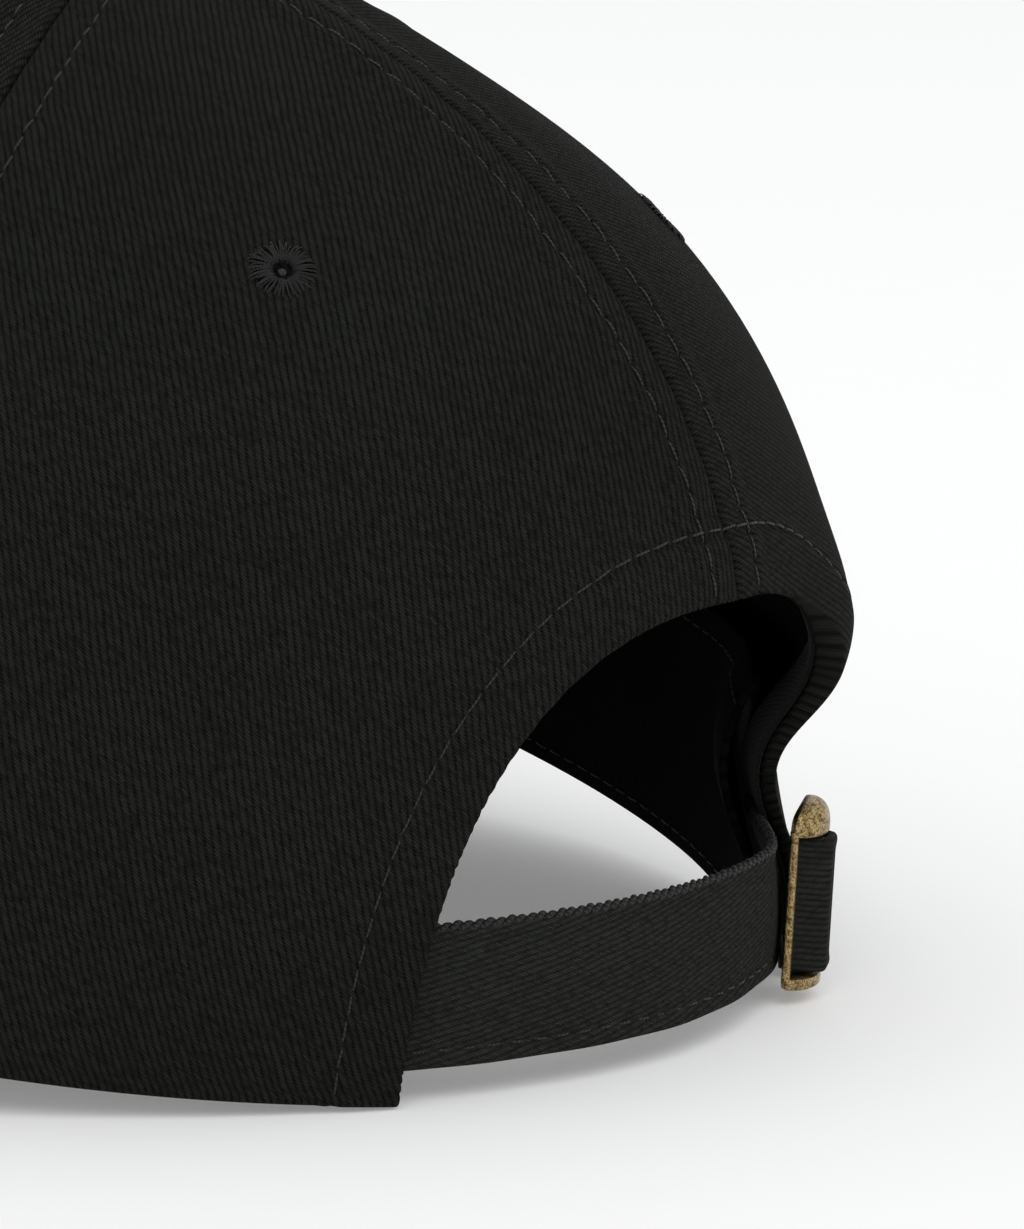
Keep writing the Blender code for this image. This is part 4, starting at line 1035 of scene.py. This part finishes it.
for number, node in enumerate(("rear_centre_tape", "rear_left_tape", "front_left_tape",
                               "front_centre_tape", "front_right_tape", "rear_right_tape")):
    seam = SEAM_PHI[number]
    start = 0.0012 if number else up_of(0.0, turn_of(0.0, 0.0612))
    up = np.linspace(start, MERIDIAN - 0.0004, 150)[:, None]
    share = share_of(up)
    side = TAPE_WIDTH * (crowded(19, 3.0, 3.0, 0.1) - 0.5)
    reach = reach_of(seam, share * top_turn(seam))
    room = np.clip((length_of(TAPE_ROOM) * reach - 0.0004) / (0.5 * TAPE_WIDTH), 0.0, 1.0)
    length = length_of(seam) + side * room / reach
    length = np.where(length > HALF_RIM, length - 2.0 * HALF_RIM, length)
    phi = phi_of(length)
    turn = share * top_turn(phi)
    cloth = 1000.0 * np.stack([side + 0.0 * up, up + 0.0 * side], axis=-1)
    lined(node + "_cloth", phi, turn, (side + 0.5 * TAPE_WIDTH) * room, TAPE_WIDTH * room, TAPE_LOW,
          TAPE_THICK, cloth, tape_cloth, "seam_tape", node)
print("tapes", len(SEAM_PHI), "each", round(1000 * TAPE_WIDTH), "mm wide")

# %% Facing of the arch
outs = np.linspace(FACING_NEAR, FACING_FAR, 15)
rows_s, rows_z = [], []
for out in outs:
    s, z = arch_curve(arch_fine, out)
    s, z = s[z >= 0.0008], z[z >= 0.0008]
    run = np.concatenate([[0.0], np.cumsum(np.hypot(np.diff(s), np.diff(z)))])
    spots = np.linspace(0.0, run[-1], FACING_COLUMNS)
    rows_s.append(np.interp(spots, run, s))
    rows_z.append(np.interp(spots, run, z))
phi = phi_of(np.array(rows_s))
turn = turn_of(phi, np.array(rows_z))
width = outs[:, None] - outs[0] + 0.0 * phi
cloth = 1000.0 * np.stack([width, np.linspace(0.0, 0.15, FACING_COLUMNS)[None, :] + 0.0 * phi], axis=-1)
lined("arch_facing_cloth", phi, turn, width, FACING_FAR - FACING_NEAR, TAPE_LOW, TAPE_THICK, cloth,
      tape_cloth, "seam_tape", "arch_facing")
print("facing", round(1000 * (FACING_FAR - FACING_NEAR), 1), "mm wide")

# %% Sweatband and its interlining
def band(name, start, low, high, depth, thick, look, slot, node, columns=560, rows=30, slack=0.0):
    """A strip round the front of the rim, whose upper edge sags in slow waves."""
    along = np.linspace(start, 2.0 * HALF_RIM - start, columns)
    length = np.where(along > HALF_RIM, along - 2.0 * HALF_RIM, along)
    height = (low + (high - low) * crowded(rows, 4.0, 4.0, 0.08))[:, None]
    phi = phi_of(length)[None, :] + 0.0 * height
    turn = turn_of(phi, height + 0.0 * phi)
    wave = np.sin(along * 170.0) + 0.7 * np.sin(along * 97.0 + 1.3) + 0.4 * np.sin(along * 411.0)
    swell = slack * (wave[None, :] + 2.0) * ease(height, low, high)
    cloth = 1000.0 * np.stack([along[None, :] + 0.0 * phi, height + 0.0 * phi], axis=-1)
    lined(name, phi, turn, height - low + 0.0 * phi, high - low, depth, thick, cloth, look, slot, node, swell)
    return phi, turn, depth + thick + swell


band_phi, band_turn, band_depth = band("sweatband_cloth", 0.0406, 0.0008, 0.0320, 0.0043, 0.0009,
                                       inner_twill_painted_shade, "cotton_twill", "sweatband", slack=0.0002)
band("interlining_felt", 0.0554, 0.0030, 0.0270, 0.0020, 0.0012, felt, "sweatband_felt",
     "sweatband_interlining", columns=300, rows=12)
band_rows = []
for row in (5, 22):
    normal = crown_normal(band_phi[row], band_turn[row])
    path = crown_face(band_phi[row], band_turn[row]) - (band_depth[row] - 0.00002)[:, None] * normal
    band_rows.append(beads(*evenly(path, -normal, PITCH)))
sew("sweatband_stitching", band_rows)
print("sweatband stitches", sum(len(row[0]) for row in band_rows) // (BEAD_RINGS * BEAD_SIDES))

# %% [markdown]
# ## Visor
# The visor is a stiff board between two cloth covers, which meet at its edge. Eight rows of stitches
# follow the outline and pull the cloth down into shallow grooves. The surface is ruled: straight lines
# run from the crown's rim out to a curved outline, whose sides droop to the table.

# %% Visor formulas
VISOR_REACH, VISOR_HALF, VISOR_END, VISOR_POWER = 0.0680, 0.0860, math.radians(117.0), 2.20
VISOR_HIGH, VISOR_DROOP, DROOP_POWER, STACK = 0.0400448, 0.0522854, 2.20, 0.0019
VISOR_COLUMNS, VISOR_ROWS, COVER_THICK, VISOR_SEAT = 261, 150, 0.0007, 0.0004
VISOR_ROWS_AT = 0.0045 + 0.0062 * np.arange(8)


def visor_edges():
    """The inner edge, off the crown by the seat and half the stack, and the superellipse outline."""
    across = np.linspace(-1.0, 1.0, VISOR_COLUMNS)
    phi = math.pi + across * (math.pi - VISOR_END)
    phi = np.where(phi > math.pi, phi - 2.0 * math.pi, phi)
    turn = turn_of(phi, STACK + 0.00015)
    angle = 0.5 * math.pi * across
    x = -VISOR_HALF * np.sign(angle) * np.abs(np.sin(angle)) ** (2.0 / VISOR_POWER)
    z = VISOR_HIGH - VISOR_DROOP * np.abs(x / VISOR_HALF) ** DROOP_POWER
    taper = 0.18 + 0.82 * (1.0 - np.abs(across) ** 6)
    facing = np.zeros(VISOR_COLUMNS)
    for _ in range(3):
        away = VISOR_SEAT + STACK * facing
        inner = crown_face(phi, turn) + away[:, None] * crown_normal(phi, turn)
        reach = HALF_LENGTH + VISOR_REACH + inner[0, 1] - SET_Y
        y = inner[0, 1] - reach * np.abs(np.cos(angle)) ** (2.0 / VISOR_POWER)
        outer = inner + taper[:, None] * (np.stack([x, y, z], axis=-1) - inner)
        normal = np.cross(outer - inner, np.gradient(inner + 0.5 * (outer - inner), axis=0))
        normal = unit(normal) * np.sign(normal[:, 2:3])
        facing = np.abs(np.sum(normal * crown_normal(phi, turn), axis=-1))
    return inner, outer, normal


visor_inner, visor_outer, visor_up = visor_edges()
visor_width = np.linalg.norm(visor_outer - visor_inner, axis=-1)
print("visor", round(1000 * visor_width.max()), "mm deep")


def visor_face(out, lift):
    """Points at shares of the way out, lifted off the middle by a distance."""
    grid = visor_inner + out[..., None] * (visor_outer - visor_inner)
    return grid + lift[..., None] * visor_up


def visor_lift(out):
    """Height of the cloth over the board's middle: a quarter ellipse at the edge, less the grooves."""
    edge = (1.0 - out) * visor_width
    top = 0.00015 + 0.00175 * np.sqrt(1.0 - np.clip(1.0 - edge / 0.0030, 0.0, 1.0) ** 2)
    groove = sum(np.exp(-(((edge - at) / 0.0006) ** 2)) for at in VISOR_ROWS_AT)
    return top - 0.00022 * groove * ease(visor_width, 0.004, 0.02) * (out > 0.02)


# %% Visor covers
out = 1.0 - np.linspace(1.0, 0.0, VISOR_ROWS)[:, None] ** 1.25 + 0.0 * visor_width
visor_run = np.linspace(-0.105, 0.105, VISOR_COLUMNS) + 0.0 * out
visor_cloth = 1000.0 * np.stack([visor_run, out * visor_width], axis=-1)
high = visor_lift(out)
low = np.maximum(high - COVER_THICK, 0.00010)
for name, sign in (("visor_cover_top", 1.0), ("visor_cover_under", -1.0)):
    shell(name + "_cloth", visor_face(out, sign * high), visor_face(out, sign * low), visor_cloth,
          panel_twill, "cotton_twill", stands_for=(name,))
print("visor covers", out.shape)

# %% Visor stitches
for name, sign in (("visor_top_stitching", 1.0), ("visor_under_stitching", -1.0)):
    rows = []
    for at in VISOR_ROWS_AT:
        keep = visor_width > at + 0.006
        share = np.clip(1.0 - at / visor_width, 0.0, 1.0)[None]
        path = visor_face(share, sign * (visor_lift(share) + 0.00002))[0][keep]
        rows.append(beads(*evenly(path, sign * visor_up[keep], 0.0030)))
    sew(name, rows)
    print(name, len(rows), "rows")

# %% [markdown]
# ## Strap
# The strap is a strip of the same cloth in a finer twill, folded and sewn, whose top edge shows as a
# twisted cord of two plies. In plan it follows an arc, and its ends are drawn in to lie inside the
# crown. The cord is two tubes that wind round each other: each one's middle circles the edge once in
# every turn of the twist, half a turn from its neighbour.

# %% Strap formulas
STRAP_BOTTOM, STRAP_DEPTH, STRAP_TUCK, STRAP_BLEND = 0.0034, 0.0027, 0.0130, 0.0002
STRAP_SEWN_AT, PLY_RADIUS, PLY_LAY = 0.0021, 0.00034, 0.0025
foot_x, foot_y = rim_point(phi_of(ARCH_HALF))
strap_rise = STRAP_MIDDLE - foot_y + 0.0015
STRAP_RADIUS = 0.5 * (foot_x**2 + strap_rise**2) / strap_rise
AXIS_Y = STRAP_MIDDLE - STRAP_RADIUS + SET_Y
STRAP_Z = STRAP_BOTTOM + 0.5 * STRAP_WIDTH * math.cos(STRAP_LEAN)


def inside_crown(length, height, depth):
    """A point at a depth inside the crown's face."""
    phi = phi_of(length)
    turn = turn_of(phi, height + 0.0 * length)
    return crown_face(phi, turn) - depth * crown_normal(phi, turn)


end_point = inside_crown(np.array([ARCH_HALF + STRAP_TUCK]), STRAP_Z, STRAP_DEPTH)[0]
STRAP_END = math.atan2(end_point[0], end_point[1] - AXIS_Y)


def strap_point(angle, up, out):
    """R sin a, R cos a in plan, with R a soft minimum of the arc's radius and the crown's own."""
    arc = STRAP_RADIUS + up * math.sin(STRAP_LEAN)
    height = STRAP_Z + up * math.cos(STRAP_LEAN)
    within = inside_crown(np.linspace(-0.1, 0.1, 401), height, STRAP_DEPTH)
    seen = np.arctan2(within[:, 0], within[:, 1] - AXIS_Y)
    crown_radius = np.interp(angle, seen, np.hypot(within[:, 0], within[:, 1] - AXIS_Y))
    least = np.minimum(arc, crown_radius)
    soft = np.exp(-(arc - least) / STRAP_BLEND) + np.exp(-(crown_radius - least) / STRAP_BLEND)
    radius = least - STRAP_BLEND * np.log(soft) + out * math.cos(STRAP_LEAN)
    z = height - out * math.sin(STRAP_LEAN) + 0.0 * angle
    return np.stack([radius * np.sin(angle), AXIS_Y + radius * np.cos(angle), z], axis=-1)


strap_angle = np.linspace(STRAP_END, -STRAP_END, 420)
strap_up = STRAP_WIDTH * (crowded(44, 7.0, 7.0, 0.06) - 0.5)
strap_along = STRAP_RADIUS * (STRAP_END - strap_angle)
print("strap", round(1000 * strap_along[-1]), "mm long")


def strap_bump(up, along):
    """Height of the strap's cloth: a rolled edge, a stitch line near it and a little slackness."""
    edge = 0.5 * STRAP_WIDTH - abs(up)
    swell = 0.00016 * math.exp(-(((edge - 0.0008) / 0.0007) ** 2))
    swell = swell - 0.00014 * math.exp(-(((edge - STRAP_SEWN_AT) / 0.0004) ** 2))
    return swell + 0.00016 * np.sin(along * 330.0 + 260.0 * up) * np.sin(along * 140.0 + 1.0)


def biased(run, up, degrees):
    """Cloth coordinates in millimetres of a strip whose threads are turned by an angle."""
    angle = math.radians(degrees)
    u = math.cos(angle) * run + math.sin(angle) * up
    return 1000.0 * np.stack([u, math.cos(angle) * up - math.sin(angle) * run], axis=-1)


# %% Strap cloth
outer, inner, weave = [], [], []
for up in strap_up:
    near, far = wall_depth(np.array(0.5 * STRAP_WIDTH - abs(up)), STRAP_THICK)
    bump = strap_bump(up, strap_along)
    outer.append(strap_point(strap_angle, up, 0.5 * STRAP_THICK - float(near) + bump))
    inner.append(strap_point(strap_angle, up, 0.5 * STRAP_THICK - float(far) + np.minimum(bump, 0.0)))
    weave.append(biased(strap_along, up, -110.0))
shell("strap_cloth", np.array(outer), np.array(inner), np.array(weave), strap_twill_painted_light, "cotton_twill",
      stands_for=("strap",))
print("strap cloth", np.array(outer).shape)

# %% Strap's twisted edge and stitches
fine_angle = np.linspace(STRAP_END - 0.02, 0.02 - STRAP_END, 900)
edge_path = strap_point(fine_angle, 0.5 * STRAP_WIDTH - 0.00022, 0.00030)
edge_path[:, 2] += 0.00007 * np.sin(np.linspace(0.0, 190.0, 900))
edge_base = strap_point(fine_angle, 0.5 * STRAP_WIDTH, 0.0)
edge_out = unit(strap_point(fine_angle, 0.5 * STRAP_WIDTH, 0.001) - edge_base)
edge_up = np.array([0.0, 0.0, 1.0])
winding = 2.0 * math.pi * STRAP_RADIUS * (STRAP_END - fine_angle) / PLY_LAY
plies = []
for half in (0.0, math.pi):
    circle = np.cos(winding + half)[:, None] * edge_out + np.sin(winding + half)[:, None] * edge_up
    plies.append(tube(edge_path + 0.00026 * circle, edge_out, PLY_RADIUS, 8, 0.9))
points, faces, cloth = together(plies)
make("strap_selvedge", points, faces, cloth, selvedge_thread, "cotton_twill")
low_path = strap_point(fine_angle, STRAP_SEWN_AT - 0.5 * STRAP_WIDTH, 0.5 * STRAP_THICK - 0.00012)
low_row = beads(*evenly(low_path, edge_out, 0.0028), length=0.0020, radius=0.00014)
sew("strap_stitching", [low_row], strap_thread)
print("selvedge", len(faces), "faces")

# %% [markdown]
# ## Buckle
# The slide buckle is cast brass: two flat bars across the strap, and an end at the top and bottom with
# a flat side against the strap's edge and a domed D outside. It rides on its own body, so every point
# is worked out in the buckle's frame and then turned about the strap's axis to where it rests.

# %% Buckle formulas
REST = math.radians(26.5)
BUCKLE_HALF, WINDOW, BAR_LOW, BAR_HIGH = 0.0054, 0.0080, 0.0010, 0.0020
BAR_HALF, TOP_DOME, BOTTOM_DOME, END_BULGE = 0.0007, 0.0026, 0.0006, 0.0033
BAR_MIDDLE = BUCKLE_HALF - BAR_HALF


def buckle_place(x, y, z):
    """x along the strap, y outwards and z up the strap, turned by the rest angle about its axis."""
    x, y, z = np.broadcast_arrays(x, y, z)
    out = STRAP_RADIUS + y * math.cos(STRAP_LEAN) + z * math.sin(STRAP_LEAN)
    height = STRAP_Z + z * math.cos(STRAP_LEAN) - y * math.sin(STRAP_LEAN)
    turned_x = x * math.cos(REST) - out * math.sin(REST)
    turned_y = x * math.sin(REST) + out * math.cos(REST)
    return np.stack([turned_x, AXIS_Y + turned_y, height], axis=-1)


def bar(middle_x):
    """A bar with a superellipse section, |x/a|^4 + |y/b|^4 = 1, and slightly worn, uneven faces."""
    turn = np.linspace(0.0, 2.0 * math.pi, 32, endpoint=False)
    z = np.linspace(-WINDOW - 0.0006, WINDOW + 0.0006, 60)[:, None]
    worn = 1.0 + 0.012 * np.sin(900.0 * z + 3.0 * turn) + 0.010 * np.sin(2100.0 * z + 1.0)
    x = middle_x + BAR_HALF * np.sign(np.cos(turn)) * np.abs(np.cos(turn)) ** 0.5 * worn
    half = 0.5 * (BAR_HIGH - BAR_LOW) * worn
    y = 0.5 * (BAR_LOW + BAR_HIGH) + half * np.sign(np.sin(turn)) * np.abs(np.sin(turn)) ** 0.5
    return wound(buckle_place(x, y, z), 1000.0 * np.stack([x + 0.0 * z, z + 0.0 * x], axis=-1), False)


def d_end(side, dome):
    """Rings of a D: a half ellipse and a straight back, shrinking as sqrt(1 - h^2) over a dome. The
    back has 21 points, so that the ring has an even number and its caps close."""
    turn = np.linspace(0.0, math.pi, 61)
    back_x = np.linspace(-BUCKLE_HALF, BUCKLE_HALF, 24)[1:-2]
    ring_x = np.concatenate([BUCKLE_HALF * np.cos(turn), back_x])
    ring_y = BAR_LOW + np.concatenate([0.0005 + END_BULGE * np.sin(turn), np.zeros(len(back_x))])
    centre_y = BAR_LOW + 0.5 * END_BULGE
    tilt = np.linspace(0.05, 0.5 * math.pi, 22)
    rise = np.concatenate([[0.0, 0.00015, 0.0006, 0.0010], 0.0011 + dome * np.sin(tilt)])
    scale = np.concatenate([[0.965, 1.0, 1.0, 0.992], 0.98 * np.cos(tilt) + 0.004])
    x = scale[:, None] * ring_x
    y = centre_y + scale[:, None] * (ring_y - centre_y)
    z = side * (WINDOW + rise[:, None]) + 0.0 * x
    return wound(buckle_place(x, y, z), 1000.0 * np.stack([x, y], axis=-1), False)


points, faces, cloth = together(
    [bar(BAR_MIDDLE), bar(-BAR_MIDDLE), d_end(1.0, TOP_DOME), d_end(-1.0, BOTTOM_DOME)])
make("buckle_casting", points, faces, cloth, brass, "antique_brass", body="buckle",
     stands_for=("buckle_frame",))
print("buckle", len(faces), "faces")

# %% The strap's folded end over the pin
FOLD_THICK, FOLD_RISE, SIDE_GAP = 0.0011, 0.0034, 0.0003
room = BUCKLE_HALF - 2.0 * BAR_HALF - SIDE_GAP
fold_x = np.linspace(-room, room, 170)
fold_y = BAR_LOW + 0.5 * FOLD_THICK + FOLD_RISE * ease(
    room - 0.5 * FOLD_THICK - np.abs(fold_x), 0.0, 0.5 * room)
slope = np.gradient(fold_y, fold_x)
lean_x, lean_y = -slope / np.hypot(1.0, slope), 1.0 / np.hypot(1.0, slope)
fold_up = (STRAP_WIDTH * (crowded(40, 6.0, 6.0, 0.07) - 0.5))[:, None]
near, far = wall_depth(0.5 * STRAP_WIDTH - np.abs(fold_up), FOLD_THICK)
fold_run = np.concatenate([[0.0], np.cumsum(np.hypot(np.diff(fold_x), np.diff(fold_y)))])
edge_roll = 0.00012 * np.exp(-(((0.5 * STRAP_WIDTH - np.abs(fold_up) - 0.0009) / 0.0006) ** 2))
outer, inner = [
    buckle_place(fold_x + away * lean_x, fold_y + away * lean_y, fold_up + 0.0 * fold_x)
    for away in (0.5 * FOLD_THICK - near + edge_roll, 0.5 * FOLD_THICK - far)]
shell("strap_fold", outer, inner, biased(fold_run, fold_up, -118.0), strap_twill_painted_light, "cotton_twill",
      body="buckle", stands_for=("strap_bight",))
print("strap fold", outer.shape)

# %% [markdown]
# ## Table and light
# The cap stands on a pale, even table that runs on out of sight, in white light from all round with
# one broad soft lamp above, as in a plain studio. Black cloth needs that much light to show its weave.

# %% Table
TABLE_HALF, TABLE_GLOW, LAMP_SIZE, LAMP_POWER = 12.0, 0.21, 1.8, 14.0


def table_look(name):
    """Pale matt paint with the faintest grain, that glows a little as a lit sweep does."""
    made, start, shader = new_look(name)
    place = start.node("ShaderNodeTexCoord", {}, {}, out=3)
    tinted(noise(place, 60.0), (0.755, 0.755, 0.75), (0.765, 0.765, 0.76)).into(shader, "Base Color")
    shader.inputs["Emission Color"].default_value = (1.0, 1.0, 1.0, 1.0)
    shader.inputs["Emission Strength"].default_value = TABLE_GLOW
    shader.inputs["Roughness"].default_value = 0.9
    shader.inputs["Specular IOR Level"].default_value = 0.0
    return made


corner = np.array([[-1, -1, 0], [1, -1, 0], [1, 1, 0], [-1, 1, 0]], float) * TABLE_HALF
table_mesh = bpy.data.meshes.new("table")
table_mesh.from_pydata(corner.tolist(), [], [(0, 1, 2, 3)])
table_mesh.materials.append(table_look("table_paint"))
table = bpy.data.objects.new("table", table_mesh)
scene.collection.objects.link(table)
print("table", 2.0 * TABLE_HALF, "m across")

# %% Light
world = bpy.data.worlds.new("white_room")
world.use_nodes = True
world.node_tree.nodes["Background"].inputs["Color"].default_value = (0.985, 0.992, 1.0, 1.0)
world.node_tree.nodes["Background"].inputs["Strength"].default_value = 0.92
scene.world = world


def soft_lamp(name, place, aim, size, power):
    """A square area lamp turned to a point."""
    lamp = bpy.data.objects.new(name, bpy.data.lights.new(name, "AREA"))
    lamp.data.size, lamp.data.energy = size, power
    scene.collection.objects.link(lamp)
    toward = np.array(place, float) - np.array(aim, float)
    toward /= np.linalg.norm(toward)
    side = np.cross([0.0, 0.0, 1.0], toward)
    side /= np.linalg.norm(side)
    turned = np.eye(4)
    turned[:3, 0], turned[:3, 1], turned[:3, 2] = side, np.cross(toward, side), toward
    turned[:3, 3] = place
    lamp.matrix_world = Matrix(turned.tolist())
    return lamp


top_lamp = soft_lamp("top_lamp", (0.9, 1.2, 2.2), (0.0, 0.0, 0.0), LAMP_SIZE, LAMP_POWER)
print("lamp", top_lamp.name, top_lamp.data.energy, "W")
